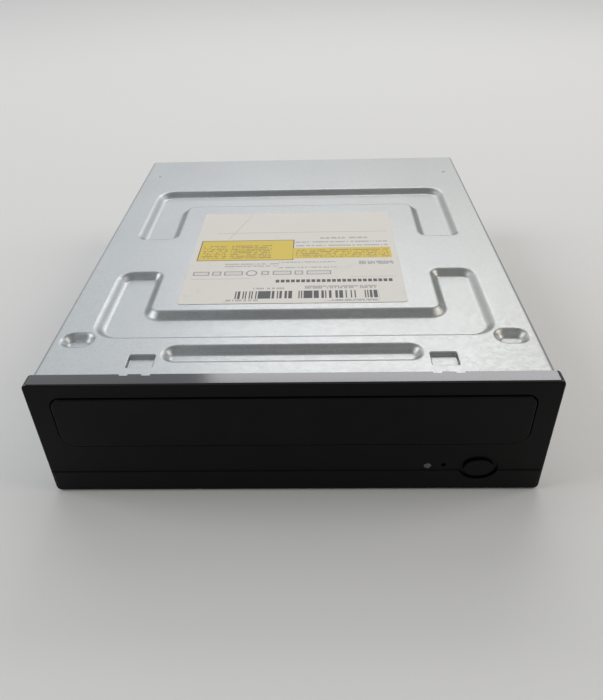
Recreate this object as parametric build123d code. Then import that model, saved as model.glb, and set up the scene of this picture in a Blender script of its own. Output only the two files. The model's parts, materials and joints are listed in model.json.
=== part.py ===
from build123d import *
import os
from math import atan2, cos, degrees, pi, radians, sin, tan

# An internal half-height disc writer: steel covers, moulded frame, tray, loading gears and disc mechanism.
# Millimetres. X runs across the drive, +Y to its rear, +Z up. The origin is the bottom's middle.

# The case
body_width = 146.0
body_depth = 170.0
body_height = 41.3
sheet = 0.8
bend_radius = 1.4
bezel_side = 1.1
bezel_rise = 0.7
bezel_depth = 4.7
door_proud = 0.5
front_y = -(body_depth - bezel_depth - door_proud) / 2
rear_y = front_y + body_depth
face_y = front_y - bezel_depth
nose_y = face_y - door_proud
half_width = body_width / 2
inner_half = half_width - sheet
under_top = body_height - sheet
bezel_half = half_width + bezel_side
bezel_height = body_height + bezel_rise

# Clearances
slip = 0.3
seat_gap = 0.1
running = 0.04

# Fixing holes of the case, tapped for 3 mm screws
fix_front = 47.4
fix_pitch = 79.24
fix_low = 10.0
fix_rise = 11.84
fix_edge = 3.15
fix_x = half_width - fix_edge
tap_radius = 1.27
fix_rows = [front_y + fix_front, front_y + fix_front + fix_pitch]
fix_heights = [fix_low, fix_low + fix_rise]

# Pressings of the top cover, measured from the cover's front edge
channel_depth = 2.1
channel_run = 2.8
channel_outer = half_width - 11.0
channel_inner = channel_outer - 15.8
rear_channel_far = 132.6
rear_channel_near = 115.3
rear_arm_end = 85.0
front_arm_end = 59.6
front_channel_near = 18.7
front_channel_far = 33.8
pocket_depth = 1.2
pocket_inner = 39.5
pocket_outer = 47.4
pocket_near = 3.8
pocket_far = 10.2
bead_near = 6.4
bead_far = 14.5
bead_half = pocket_inner - 1.5
bead_depth = 2.0
bead_run = 2.5
dimple_x = half_width - 8.0
dimple_y = 17.9
dimple_length = 10.3
dimple_width = 7.6
dimple_run = 2.25
nub_edges = [39.3, 45.6]
nub_width = 2.1
nub_reach = 0.45

# The label on the cover
label_width = 2 * (channel_inner - 8.7)
label_length = 70.0
label_near = 37.3
label_offset = -0.8
label_thickness = 0.12

# The disc and its tray
frame_gap = 0.6
frame_wall = 2.2
frame_outer = inner_half - frame_gap
frame_inner = frame_outer - frame_wall
frame_front = front_y + 0.4
frame_rear = rear_y - 1.8
spindle_reach = 68.5
spindle_y = front_y + spindle_reach
tray_half = frame_inner - 2.9
tray_rear = frame_rear - 5.8
tray_under = 29.6
tray_floor = 31.8
tray_rim = 34.6
tray_rail = 2.2
tray_travel = 140.0
tray_slot = 18.5
disc_pocket = tray_half - 5.75
small_pocket = disc_pocket - 20.15

# The front plate's face
plate_wall = 2.2
plate_side = 1.8
lip_height = 8.3
lip_proud = 0.35
door_half = bezel_half - 6.7
door_high = tray_rim + 2.4
door_low = door_high - 17.7
door_gap = 0.4
door_corner = 3.0
door_wall = 1.8
button_x = bezel_half - 19.3
button_z = 9.5
button_width = 8.8
button_height = 6.4
button_surround = 1.4
button_travel = 1.2
stem_half = 1.5
lamp_x = button_x - 15.1
lamp_z = 10.1
lamp_radius = 1.1
release_x = button_x - 10.4
release_z = 10.5
release_radius = 0.7
hook_low = 15.0
hook_high = 21.0
hook_back = 6.2
barb_length = 2.4

# The moulded frame
frame_low = 2.0
frame_high = under_top - 3.0
ledge_depth = 7.1
ledge_low = 24.0
ledge_high = 26.7
tray_rail_low = ledge_high + slip
lug_length = 9.0
lug_rows = [frame_front + 4.0, spindle_y - 26.1, spindle_y + 43.9]
deck_low = 18.0
deck_high = 19.6
post_half = 3.6
post_x = frame_inner - 4.8
post_front = frame_front + 7.0
post_rear = frame_rear - 5.5
seat_half = 5.0
screw_radius = 1.2
small_screw_radius = 1.0

# The disc mechanism, which tilts about a rear hinge
hinge_y = frame_rear - 13.8
hinge_z = 18.0
hinge_radius = 2.0
tilt_limit = 3.47
plate_low = 20.8
plate_high = 22.0
plate_front = spindle_y - 22.1
carrier_half = frame_inner - 11.4
carrier_wall = 2.4
carrier_low = 14.6
carrier_high = 19.6
carrier_front = plate_front - 2.6
carrier_rear = hinge_y + 3.5
plate_half = carrier_half - 11.0
plate_rear = carrier_rear - 9.5
damper_x = carrier_half - 5.6
damper_rows = [plate_front + 7.0, plate_rear - 8.0]
damper_radius = 4.0
damper_neck = 2.6
damper_top = plate_high + 1.1
ear_near = carrier_half + 1.2
ear_far = carrier_half + 4.2
ear_half = 4.5

# The spindle
seat_z = 33.0
hub_radius = 7.45
hub_top = 35.3
turntable_radius = 15.0
pad_height = 0.6
rotor_radius = 13.2
rotor_top = seat_z - 2.0
bearing_radius = 4.6
spindle_radius = 1.5

# The pickup on its rods
lens_start = spindle_y + 23.4
rod_x = 27.0
rod_z = 16.6
rod_radius = 1.5
rod_front = lens_start - 10.5
rod_rear = plate_rear - 2.0
lead_x = rod_x + 9.0
lead_z = 14.6
lead_radius = 1.5
sled_motor_radius = 6.0
sled_motor_flat = 4.6
sled_motor_rear = rod_front - 5.0
sled_motor_front = sled_motor_rear - 16.0
window_half = rod_x - 3.8
pickup_low = 12.8
nest_low = plate_high - 3.4
nest_half = 9.0
actuator_top = 30.0
holder_top = 28.6
lens_low = 29.4
lens_high = 30.5
lens_radius = 2.6
lens_window = 4.2

# The lifting cam that slides across the front of the mechanism
cam_rear = carrier_front - 1.6
cam_front = cam_rear - 1.5
cam_half = 33.0
cam_travel = 14.0
cam_pin_x = 20.0
cam_pin_z = 17.0
cam_pin_radius = 1.5
cam_drop = (hinge_y - cam_front) * sin(radians(tilt_limit))
cam_low = cam_pin_z - cam_drop - 2.5
cam_high = cam_pin_z + 4.6
deck_rear = cam_front - 1.8

# Loading gears
rack_module = 1.25
pinion_teeth = 11
wheel_module = 1.0
wheel_teeth = 32
small_teeth = 10
gear_y = front_y + 18.9
tray_gear_x = frame_inner - 24.4
gear_low = deck_high + 0.5
wheel_face = 4.2
pinion_low = gear_low + wheel_face
pinion_high = tray_under - 1.2
post_pin_radius = 1.5
pinion_radius = rack_module * pinion_teeth / 2
rack_line = tray_gear_x + pinion_radius
pulley_gear_x = tray_gear_x - wheel_module * (wheel_teeth + small_teeth) / 2
pulley_radius = 11.0
motor_pulley_radius = 3.0
pulley_rim = 1.0
pulley_top = 29.0
belt_size = 1.2
belt_z = 27.2
belt_seat = belt_size / 2 - slip
pulley_low = 2 * belt_z - pulley_top
motor_x = pulley_gear_x - 29.0
motor_radius = 12.0
motor_flat = 9.0
motor_height = 12.3
motor_shaft_radius = 1.0

# The bridge that holds the clamper above the disc
bridge_z = under_top - channel_depth
bridge_front = front_y + front_arm_end + 1.4
bridge_rear = front_y + rear_arm_end - 2.0
bridge_hub = 17.0
bridge_hole = 10.2
bridge_screw_x = frame_outer - 4.0
bridge_screw_y = spindle_y + 3.5
clamper_radius = 14.5
clamper_disc = 1.4
clamper_neck = 9.0
clamper_flange = 12.0
clamper_tab = 0.7
magnet_radius = 6.5
magnet_top = hub_top + slip + 1.6

# Boards
board_low = 4.4
board_thick = 1.6
front_board_thick = 1.2
board_half = frame_inner - 11.0
board_rear = rear_y - 2.2
board_length = 84.9
board_front = board_rear - board_length
board_top = board_low + board_thick
front_board_top = board_low + front_board_thick
front_board_left = lamp_x - 13.7
standoff_half = 3.0
socket_x = board_half - 22.4
socket_width = 38.0
socket_height = 8.4
socket_depth = 13.0
socket_wall = 1.4
socket_mouth = rear_y - 0.2
socket_middle = board_top + socket_height / 2
contact_pitch = 1.27


def block(x_low, x_high, y_low, y_high, z_low, z_high):
    size = (x_high - x_low, y_high - y_low, z_high - z_low)
    middle = ((x_low + x_high) / 2, (y_low + y_high) / 2, (z_low + z_high) / 2)
    return Pos(*middle) * Box(*size)


def upright(x, y, z_low, z_high, radius):
    # a round bar along Z
    return Pos(x, y, (z_low + z_high) / 2) * Cylinder(radius, z_high - z_low)


def along_y(x, z, y_low, y_high, radius):
    # a round bar along Y
    return Pos(x, (y_low + y_high) / 2, z) * Rot(90, 0, 0) * Cylinder(radius, y_high - y_low)


def along_x(y, z, x_low, x_high, radius):
    # a round bar along X
    return Pos((x_low + x_high) / 2, y, z) * Rot(0, 90, 0) * Cylinder(radius, x_high - x_low)


def stud(x, y, z_low, z_high, radius, sides=6):
    # a many-sided bar for small fasteners and their holes
    return Pos(x, y, z_low) * extrude(RegularPolygon(radius, sides), amount=z_high - z_low)


def both_sides(shape):
    return shape + mirror(shape, about=Plane.YZ)


def corners(x_low, x_high, y_low, y_high):
    return [(x_low, y_low), (x_high, y_low), (x_high, y_high), (x_low, y_high)]


def outline(points, sizes, shaping=fillet):
    # a flat face with square-cornered points, each corner rounded or cut by its own size
    face = make_face(Polyline(*points, close=True))
    for point, size in zip(points, sizes):
        corner = [v for v in face.vertices() if abs(v.X - point[0]) + abs(v.Y - point[1]) < 1e-4]
        face = shaping(corner, size)
    return face


def grown_radii(points, radii, growth):
    # the corner radii after every side has moved outwards: more where the outline turns left, less elsewhere
    grown = []
    for i, radius in enumerate(radii):
        (ax, ay), (bx, by), (cx, cy) = points[i - 1], points[i], points[(i + 1) % len(points)]
        turns_left = (bx - ax) * (cy - by) - (by - ay) * (cx - bx) > 0
        grown.append(radius + growth if turns_left else radius - growth)
    return grown


def moved_in(points, distance):
    # a counter-clockwise square-cornered outline with every side moved inwards
    moved = []
    for i, (x, y) in enumerate(points):
        before, after = points[i - 1], points[(i + 1) % len(points)]
        side_x = -(y - before[1]) if abs(y - before[1]) > 1e-6 else -(after[1] - y)
        side_y = (x - before[0]) if abs(x - before[0]) > 1e-6 else (after[0] - x)
        moved.append((x + distance * (1 if side_x > 0 else -1), y + distance * (1 if side_y > 0 else -1)))
    return moved


def pressing(points, radii, depth, run, spread=0.0, shaping=fillet, share=1.0):
    # the hollow of a pressed channel: its sloping walls rise past the sheet's face at zero
    above = 0.5
    flare = spread + run * above / depth
    sizes = [share * r for r in grown_radii(points, radii, flare)]
    top = outline(moved_in(points, -flare), sizes, shaping)
    hollow = Pos(0, 0, -depth) * extrude(top, amount=depth + 2 * above)
    floor = hollow.faces().sort_by(Axis.Z)[0]
    return chamfer(floor.edges(), run + flare - spread, depth + above, reference=floor)


def pressing_under(points, radii, depth, run):
    # the same channel under the sheet, wider by the steel's thickness, its corners cut straight
    return pressing(points, radii, depth, run, sheet * tan(radians(27)), chamfer, 0.6)


def cover_pressings():
    # outline, corner radii, depth and wall run of the rear arch, the front castle, the bead and the dimples
    xo, xi = channel_outer, channel_inner
    end, far, near = [front_y + v for v in (rear_arm_end, rear_channel_far, rear_channel_near)]
    rear = [(-xo, end), (-xi, end), (-xi, near), (xi, near), (xi, end), (xo, end), (xo, far), (-xo, far)]
    end, near, far = [front_y + v for v in (front_arm_end, front_channel_near, front_channel_far)]
    front = [(-xo, near), (xo, near), (xo, end), (xi, end), (xi, far), (-xi, far), (-xi, end), (-xo, end)]
    tight, small, bow = channel_run + 0.3, channel_run + 1.2, channel_run + 4.2
    rear_radii = [small, small, tight, tight, small, small, bow, bow]
    front_radii = [bow + 1, bow + 1, small + 1, tight, tight, tight, tight, small + 1]
    found = [(rear, rear_radii, channel_depth, channel_run), (front, front_radii, channel_depth, channel_run)]
    bead = corners(-bead_half, bead_half, front_y + bead_near, front_y + bead_far)
    found.append((bead, [(bead_far - bead_near) / 2 - 0.05] * 4, bead_depth, bead_run))
    half_length, half_width_here = dimple_length / 2, dimple_width / 2
    for x in (-dimple_x, dimple_x):
        y = front_y + dimple_y
        dimple = corners(x - half_length, x + half_length, y - half_width_here, y + half_width_here)
        found.append((dimple, [half_width_here - 0.05] * 4, channel_depth, dimple_run))
    return found


def pocket_cut(spread):
    near, far = front_y + pocket_near - spread, front_y + pocket_far + spread
    cut = block(pocket_inner - spread, pocket_outer + spread, near, far, -pocket_depth, 0)
    return both_sides(cut)


def top_cover():
    outer = block(-half_width, half_width, front_y, rear_y, 0, body_height)
    outer = fillet(outer.edges().filter_by(Axis.Y).group_by(Axis.Z)[-1], bend_radius)
    inner = block(-inner_half, inner_half, front_y - 1, rear_y + 1, -1, under_top)
    inner = fillet(inner.edges().filter_by(Axis.Y).group_by(Axis.Z)[-1], bend_radius - sheet)
    for shape in cover_pressings():
        outer -= Pos(0, 0, body_height) * pressing(*shape)
        inner -= Pos(0, 0, under_top) * pressing_under(*shape)
    outer -= Pos(0, 0, body_height) * pocket_cut(0)
    inner -= Pos(0, 0, under_top) * pocket_cut(sheet)
    cover = outer - inner
    # the small hooked nubs of the front edge
    for low in nub_edges:
        nub = block(low, low + nub_width, front_y - nub_reach, front_y + 1, under_top, body_height)
        cover += both_sides(nub)
    # tapped holes in the sides
    for y in fix_rows:
        for z in fix_heights:
            cover -= both_sides(along_x(y, z, inner_half - 2, half_width + 1, tap_radius))
    # windows for the front plate's hooks
    near, far = front_y + hook_back - barb_length - slip, front_y + hook_back + slip
    window = block(inner_half - 1, half_width + 1, near, far, hook_low - slip, hook_high + slip)
    return cover - both_sides(window)


def rating_label():
    middle = front_y + label_near + label_length / 2
    shape = chamfer(Rectangle(label_width, label_length).vertices(), 0.8)
    return Pos(label_offset, middle, body_height) * extrude(shape, amount=label_thickness)


def raised_seat(x_low, x_high, y_low, y_high, height):
    # a square seat pressed up from the bottom's sheet, and the hollow that it leaves below
    seat = block(x_low, x_high, y_low, y_high, 0, height)
    hollow = block(x_low + sheet, x_high - sheet, y_low + sheet, y_high - sheet, -1, height - sheet)
    return seat, hollow


def bottom_cover():
    half = inner_half - seat_gap
    back = rear_y - 0.2
    pan = block(-half, half, front_y + 0.2, back, 0, sheet)
    pan += block(-half, half, back - sheet, back, 0, under_top - bend_radius)
    # the window of the rear socket
    gap = 0.4
    left, right = socket_x - socket_width / 2 - gap, socket_x + socket_width / 2 + gap
    pan -= block(left, right, back - 2, back + 1, board_top - gap, board_top + socket_height + gap)
    # seats for the four case screws
    for y in (post_front, post_rear):
        seat, hollow = raised_seat(post_x - seat_half, half, y - seat_half, y + seat_half, frame_low)
        pan = pan + both_sides(seat) - both_sides(hollow)
        pan -= both_sides(stud(post_x, y, -1, frame_low + 1, screw_radius + 0.3))
    # tapped holes in the bottom
    for y in fix_rows:
        pan -= both_sides(upright(fix_x, y, -1, sheet + 2, tap_radius))
    # standoffs for the boards
    for x, y in board_posts():
        half = standoff_half
        seat, hollow = raised_seat(x - half, x + half, y - half, y + half, board_low)
        pan = pan + seat - hollow - stud(x, y, 0, board_low + 1, small_screw_radius)
    # two long stiffening beads
    for x in (-30, 30):
        bead_y = front_y + 24
        seat, hollow = raised_seat(x - 4, x + 4, bead_y, bead_y + 54, 2 * sheet)
        pan = pan + seat - hollow
    # vent slots of the rear wall
    slot, pitch = 6, 9
    for i in range(6):
        left = 13 - half_width + pitch * i
        pan -= block(left, left + slot, back - 2, back + 1, 27, 29)
    return pan


def board_posts():
    across, inset = board_half - 6.4, 5
    found = [(-across, board_front + inset), (across, board_front + inset)]
    found += [(-across, board_rear - inset), (socket_x - 28, board_rear - inset)]
    return found + [(lamp_x - 6.7, front_y + 15), (button_x - 0.8, front_y + 23)]


def front_bezel():
    plate = block(-bezel_half, bezel_half, face_y, front_y, 0, bezel_height)
    plate = fillet(plate.edges().filter_by(Axis.Y), 1.6)
    plate = chamfer(plate.faces().sort_by(Axis.Y)[0].edges(), 0.6)
    inside, top = bezel_half - plate_side, bezel_height - plate_side
    plate -= block(-inside, inside, face_y + plate_wall, front_y + 1, plate_side, top)
    lip_half = bezel_half - 0.9
    lip = block(-lip_half, lip_half, face_y - lip_proud, face_y + 1, 0.9, lip_height)
    plate += chamfer(lip.faces().sort_by(Axis.Y)[0].edges(), lip_proud - 0.05)
    # the round recess of the eject button
    front = Plane.XZ.offset(-face_y + 1)
    surround = Ellipse(button_width / 2 + button_surround, button_height / 2 + button_surround)
    plate -= extrude(front * Pos(button_x, button_z) * surround, amount=-1.5)
    hole = Ellipse(button_width / 2 + 0.15, button_height / 2 + 0.15)
    plate -= extrude(front * Pos(button_x, button_z) * hole, amount=-9)
    plate -= along_y(lamp_x, lamp_z, face_y - 1, face_y + 4, lamp_radius)
    plate -= along_y(release_x, release_z, face_y - 1, face_y + 4, release_radius)
    # the tray's opening
    wide, high = 2 * (door_half + door_gap), door_high - door_low + 2 * door_gap
    opening = RectangleRounded(wide, high, door_corner + door_gap)
    plate -= extrude(front * Pos(0, (door_low + door_high) / 2) * opening, amount=-9)
    # notches for the case's front nubs
    gap = 0.2
    for low in nub_edges:
        left, right, reach = low - gap, low + nub_width + gap, front_y - nub_reach - gap
        plate -= both_sides(block(left, right, reach, front_y + 1, under_top - gap, bezel_height + 1))
    # hooks that snap into the case
    back = front_y + hook_back
    arm = block(inner_half - 1.4, inner_half - slip, face_y + 1, back, hook_low, hook_high)
    barb = block(inner_half - 0.6, inner_half + 0.5, back - barb_length, back, hook_low, hook_high)
    return plate + both_sides(arm + barb)


def tray_door():
    shape = RectangleRounded(2 * door_half, door_high - door_low, door_corner)
    front = Plane.XZ.offset(-nose_y)
    door = extrude(front * Pos(0, (door_low + door_high) / 2) * shape, amount=-3.4)
    door = chamfer(door.faces().sort_by(Axis.Y)[0].edges(), 0.5)
    inside = door_half - door_wall
    door -= block(-inside, inside, nose_y + door_wall, nose_y + 9, door_low + door_wall, tray_rim + 0.7)
    # two hooks that drop into the tray's groove
    hook = block(26, 34, nose_y + 1.5, nose_y + 4.8, tray_rim, tray_rim + 1.2)
    hook += block(26, 34, nose_y + 3.6, nose_y + 4.8, tray_rim - 0.6, tray_rim)
    return door + both_sides(hook)


def eject_button():
    front = Plane.XZ.offset(-nose_y)
    cap = extrude(front * Pos(button_x, button_z) * Ellipse(button_width / 2, button_height / 2), amount=-3.0)
    cap = chamfer(cap.faces().sort_by(Axis.Y)[0].edges(), 0.5)
    x, z, half = button_x, button_z, stem_half
    return cap + block(x - half, x + half, nose_y + 2, front_y - 0.1, z - half, z + half)


def led_lens():
    return along_y(lamp_x, lamp_z, face_y + 0.1, front_y - 0.3, lamp_radius)


def main_frame():
    frame = block(-frame_outer, frame_outer, frame_front, frame_rear, frame_low, frame_high)
    frame -= block(-frame_inner, frame_inner, frame_front - 1, frame_rear + 1, frame_low - 1, frame_high + 1)
    # ledges that carry the tray, and lugs that hold it down
    near, far = frame_front + 1, frame_rear - 1
    ledge = block(frame_inner - ledge_depth, frame_inner, near, far, ledge_low, ledge_high)
    frame += both_sides(ledge)
    lug_low = tray_rim + slip
    for y in lug_rows:
        lug = block(tray_half - tray_rail + 0.5, frame_inner, y, y + lug_length, lug_low, lug_low + 1.5)
        frame += both_sides(lug)
    frame += gear_deck()
    frame += both_sides(hinge_ear())
    # a rear tie between the walls
    frame += block(-frame_inner, frame_inner, frame_rear - 2.2, frame_rear, ledge_low, frame_high - 1.5)
    # posts for the case screws
    for y in (post_front, post_rear):
        post = block(post_x - post_half, frame_inner, y - post_half, y + post_half, frame_low, ledge_low)
        frame += both_sides(post - stud(post_x, y, frame_low - 1, frame_low + 12, screw_radius))
    # bosses for the clamp bridge
    boss_near, boss_far = bridge_screw_y - 5.6, bridge_screw_y + 5.4
    boss = block(tray_half - tray_rail + 0.3, frame_outer, boss_near, boss_far, tray_rim + 0.8, bridge_z)
    boss -= stud(bridge_screw_x, bridge_screw_y, tray_rim, bridge_z + 1, small_screw_radius)
    frame += both_sides(boss)
    # clearance round the fixing holes of the case
    clear = 3.0
    side, top = frame_outer + 1, fix_low + fix_rise + 2.1
    for y in fix_rows:
        near, far = y - clear, y + clear
        frame -= both_sides(block(frame_inner - 1, side, near, far, fix_low - clear, top))
        frame -= both_sides(block(fix_x - clear, side, near, far, frame_low - 1, frame_low + clear))
    # room for the front plate's hooks
    near, far = frame_front - 1, front_y + hook_back + 1
    return frame - both_sides(block(frame_outer - 1.2, side, near, far, hook_low - 1, hook_high + 1))


def gear_deck():
    # the front deck with its gears' posts, and the wall and brackets that guide the cam
    wall_back = deck_rear + 1.5
    wall_low = 12
    deck = block(-frame_inner, frame_inner, frame_front + 1, deck_rear, deck_low, deck_high)
    deck += block(-frame_inner, frame_inner, deck_rear, wall_back, wall_low, deck_high)
    deck -= block(motor_x - 4, motor_x + 4, gear_y - 4, gear_y + 4, 0, deck_high + 1)
    for x in (tray_gear_x, pulley_gear_x):
        deck += upright(x, gear_y, deck_high, pinion_high + 0.4, post_pin_radius)
    over, under, width = cam_high + 1.8, cam_low - 1.8, 8
    for x in (-cam_half - 2 * width, cam_half + 6):
        deck += block(x, x + width, deck_rear, cam_rear, cam_high + slip, over)
        deck += block(x, x + width, deck_rear, wall_back, deck_high, over)
        deck += block(x, x + width, deck_rear, cam_rear, under, cam_low - slip)
        deck += block(x, x + width, deck_rear, wall_back, under, wall_low)
    return deck


def hinge_ear():
    # an upright ear with an open-topped bearing, on a foot from the frame's wall
    near, far = hinge_y - ear_half, hinge_y + ear_half
    foot_low, foot_high = 10, 12
    ear = block(ear_near, ear_far, near, far, foot_low, hinge_z + ear_half)
    ear += block(ear_near, frame_inner, near, far, foot_low, foot_high)
    ear -= along_x(hinge_y, hinge_z, carrier_half, frame_inner - 1, hinge_radius + running)
    return ear - block(carrier_half, frame_inner - 1, hinge_y - 1.2, hinge_y + 1.2, hinge_z, hinge_z + 9)


def clamp_bridge():
    strip = block(-frame_outer, frame_outer, bridge_front, bridge_rear, 0, sheet)
    strip += upright(0, spindle_y, 0, sheet, bridge_hub)
    strip -= upright(0, spindle_y, -1, 2, bridge_hole)
    strip -= both_sides(stud(bridge_screw_x, bridge_screw_y, -1, 2, small_screw_radius + 0.3))
    # a slot for lightness on each side
    strip -= both_sides(block(24, 44, bridge_screw_y - 4, bridge_screw_y + 4, -1, 2))
    return Pos(0, 0, bridge_z) * strip


def clamper():
    # a disc under the bridge, and a neck through its hole with three tabs that rest on it
    low = hub_top + slip
    shelf = bridge_z + sheet + slip
    body = upright(0, spindle_y, low, low + clamper_disc, clamper_radius)
    body += upright(0, spindle_y, low, shelf + clamper_tab, clamper_neck)
    for turned in (30, 150, 270):
        tab = block(0, clamper_flange, -3, 3, shelf, shelf + clamper_tab)
        body += Pos(0, spindle_y, 0) * Rot(0, 0, turned) * tab
    return body - upright(0, spindle_y, low - 1, magnet_top, magnet_radius)


def clamp_magnet():
    return upright(0, spindle_y, hub_top + slip + 0.2, magnet_top, magnet_radius)


def disc_tray():
    back = nose_y + door_wall
    front = back + 1.8
    tray = block(-tray_half, tray_half, front, tray_rear, tray_under, tray_rim)
    tray += both_sides(block(tray_half - tray_rail, tray_half, front, tray_rear, tray_rail_low, tray_under))
    tray += block(1 - tray_half, tray_half - 1, back, front, tray_rail_low, tray_rim)
    # the recesses for discs of both sizes
    tray -= upright(0, spindle_y, tray_floor, tray_rim + 1, disc_pocket)
    tray -= upright(0, spindle_y, tray_floor - 1, tray_rim + 1, small_pocket)
    # the slot that the turntable and the pickup reach through
    tray -= upright(0, spindle_y, tray_under - 9, tray_rim + 9, tray_slot)
    tray -= block(-tray_slot, tray_slot, spindle_y, tray_rear + 1, tray_under - 9, tray_rim + 9)
    # finger scoops in the front corners of the rim
    scoop_front = spindle_y - disc_pocket + 0.75
    tray -= both_sides(block(30, 46, scoop_front, scoop_front + 26, tray_floor, tray_rim + 1))
    # hollows under the rear corners
    hollow_front = spindle_y + disc_pocket - 0.5
    hollow = block(tray_slot + 3.5, rack_line - 4, hollow_front, tray_rear - 3, tray_under - 1, tray_rim - 2)
    tray -= both_sides(hollow)
    # the hooks of the door drop into this groove
    tray -= both_sides(block(25.7, 34.3, nose_y + 3.4, nose_y + 5.0, tray_rim - 0.8, tray_rim + 1))
    return tray + rack()


def rack():
    # the rack along one side of the tray, teeth towards the pinion
    pitch = pi * rack_module
    start = gear_y - 2 * pitch
    count = int((tray_travel + 4 * pitch) / pitch)
    back = rack_line + 4.0
    root = rack_line + 1.25 * rack_module
    tip = rack_line - 0.9 * rack_module
    points = [(back, start - pitch / 2), (root, start - pitch / 2)]
    for i in range(count):
        for offset, depth in ((-0.36, root), (-0.115, tip), (0.115, tip), (0.36, root)):
            points.append((depth, start + (i + offset) * pitch))
    end = start + (count - 0.5) * pitch
    points += [(root, end), (back, end)]
    low = pinion_low + slip
    return Pos(0, 0, low) * extrude(make_face(Polyline(*points, close=True)), amount=tray_under - low)


def gear_face(module, teeth, turned):
    # a spur gear's outline with straight-sided teeth, one tooth centred at the turned angle
    root = module * (teeth / 2 - 1.25)
    tip = module * (teeth / 2 + 0.9)
    step = 2 * pi / teeth
    points = []
    for i in range(teeth):
        middle = radians(turned) + i * step
        for radius, share in ((root, -0.34), (tip, -0.12), (tip, 0.12), (root, 0.34)):
            points.append((radius * cos(middle + share * step), radius * sin(middle + share * step)))
    return make_face(Polyline(*points, close=True))


def tray_gear():
    # the pinion has a gap facing each rack tooth: the rack's teeth lie at whole pitches from the axis
    half_step = 180 / pinion_teeth
    wheel = extrude(gear_face(wheel_module, wheel_teeth, 0), amount=wheel_face)
    pinion = extrude(gear_face(rack_module, pinion_teeth, half_step), amount=pinion_high - pinion_low)
    gear = Pos(tray_gear_x, gear_y, gear_low) * wheel + Pos(tray_gear_x, gear_y, pinion_low) * pinion
    return gear - upright(tray_gear_x, gear_y, gear_low - 1, pinion_high + 1, post_pin_radius + running)


def belt_pulley(x, radius):
    # a flange under the belt, and the drum that the belt runs on
    drum = upright(x, gear_y, pulley_low, pulley_top, radius - belt_size / 2)
    return drum + upright(x, gear_y, pulley_low, belt_z - belt_size / 2 - slip, radius + pulley_rim)


def pulley_gear():
    # a gap faces the wheel's tooth on the line between the two axes
    teeth = extrude(gear_face(wheel_module, small_teeth, 180 / small_teeth), amount=pulley_low - gear_low)
    gear = Pos(pulley_gear_x, gear_y, gear_low) * teeth + belt_pulley(pulley_gear_x, pulley_radius)
    return gear - upright(pulley_gear_x, gear_y, gear_low - 1, pulley_top + 1, post_pin_radius + running)


def motor_pulley():
    pulley = belt_pulley(motor_x, motor_pulley_radius)
    return pulley - upright(motor_x, gear_y, pulley_low - 1, pulley_top + 1, motor_shaft_radius)


def motor_shaft():
    return upright(motor_x, gear_y, deck_low + running, pulley_top - 1.0, motor_shaft_radius)


def flat_sided(can, x, half, z_low, z_high, y_low, y_high):
    # a motor's can with flats on two sides
    return can & block(x - half, x + half, y_low, y_high, z_low, z_high)


def loading_motor():
    low, flat = deck_low - motor_height, motor_flat
    can = upright(motor_x, gear_y, low, deck_low, motor_radius)
    return flat_sided(can, motor_x, motor_radius + 1, low, deck_low, gear_y - flat, gear_y + flat)


def drive_belt():
    # a closed belt round both pulleys
    spacing = pulley_gear_x - motor_x
    big = pulley_radius - belt_seat
    small = motor_pulley_radius - belt_seat
    lean = atan2(big - small, (spacing**2 - (big - small) ** 2) ** 0.5)

    def point(x, radius, angle):
        return (x + radius * cos(angle), gear_y + radius * sin(angle))

    def loop(grow):
        up = pi / 2 + lean
        a, b = point(motor_x, small + grow, up), point(pulley_gear_x, big + grow, up)
        c, d = point(pulley_gear_x, big + grow, -up), point(motor_x, small + grow, -up)
        right = (pulley_gear_x + big + grow, gear_y)
        left = (motor_x - small - grow, gear_y)
        return make_face(Line(a, b) + ThreePointArc(b, right, c) + Line(c, d) + ThreePointArc(d, left, a))

    band = loop(belt_size) - loop(0)
    return Pos(0, 0, belt_z - belt_size / 2) * extrude(band, amount=belt_size)


def lifter_frame():
    # the moulded carrier: a ring with damper seats, rear pivots and front pins
    frame = block(-carrier_half, carrier_half, carrier_front, carrier_rear, carrier_low, carrier_high)
    inside = carrier_half - carrier_wall
    frame -= block(-inside, inside, carrier_front + carrier_wall, carrier_rear - carrier_wall, 0, 40)
    half = damper_radius + 0.2
    for y in damper_rows:
        seat = block(damper_x - half, carrier_half, y - half, y + half, carrier_low + 1, carrier_high)
        frame += both_sides(seat - stud(damper_x, y, 0, 40, small_screw_radius))
    frame += both_sides(along_x(hinge_y, hinge_z, carrier_half - 1, ear_far + 0.4, hinge_radius))
    pin = along_y(cam_pin_x, cam_pin_z, cam_front - 0.2, carrier_front + 1, cam_pin_radius)
    return frame + both_sides(pin)


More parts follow.
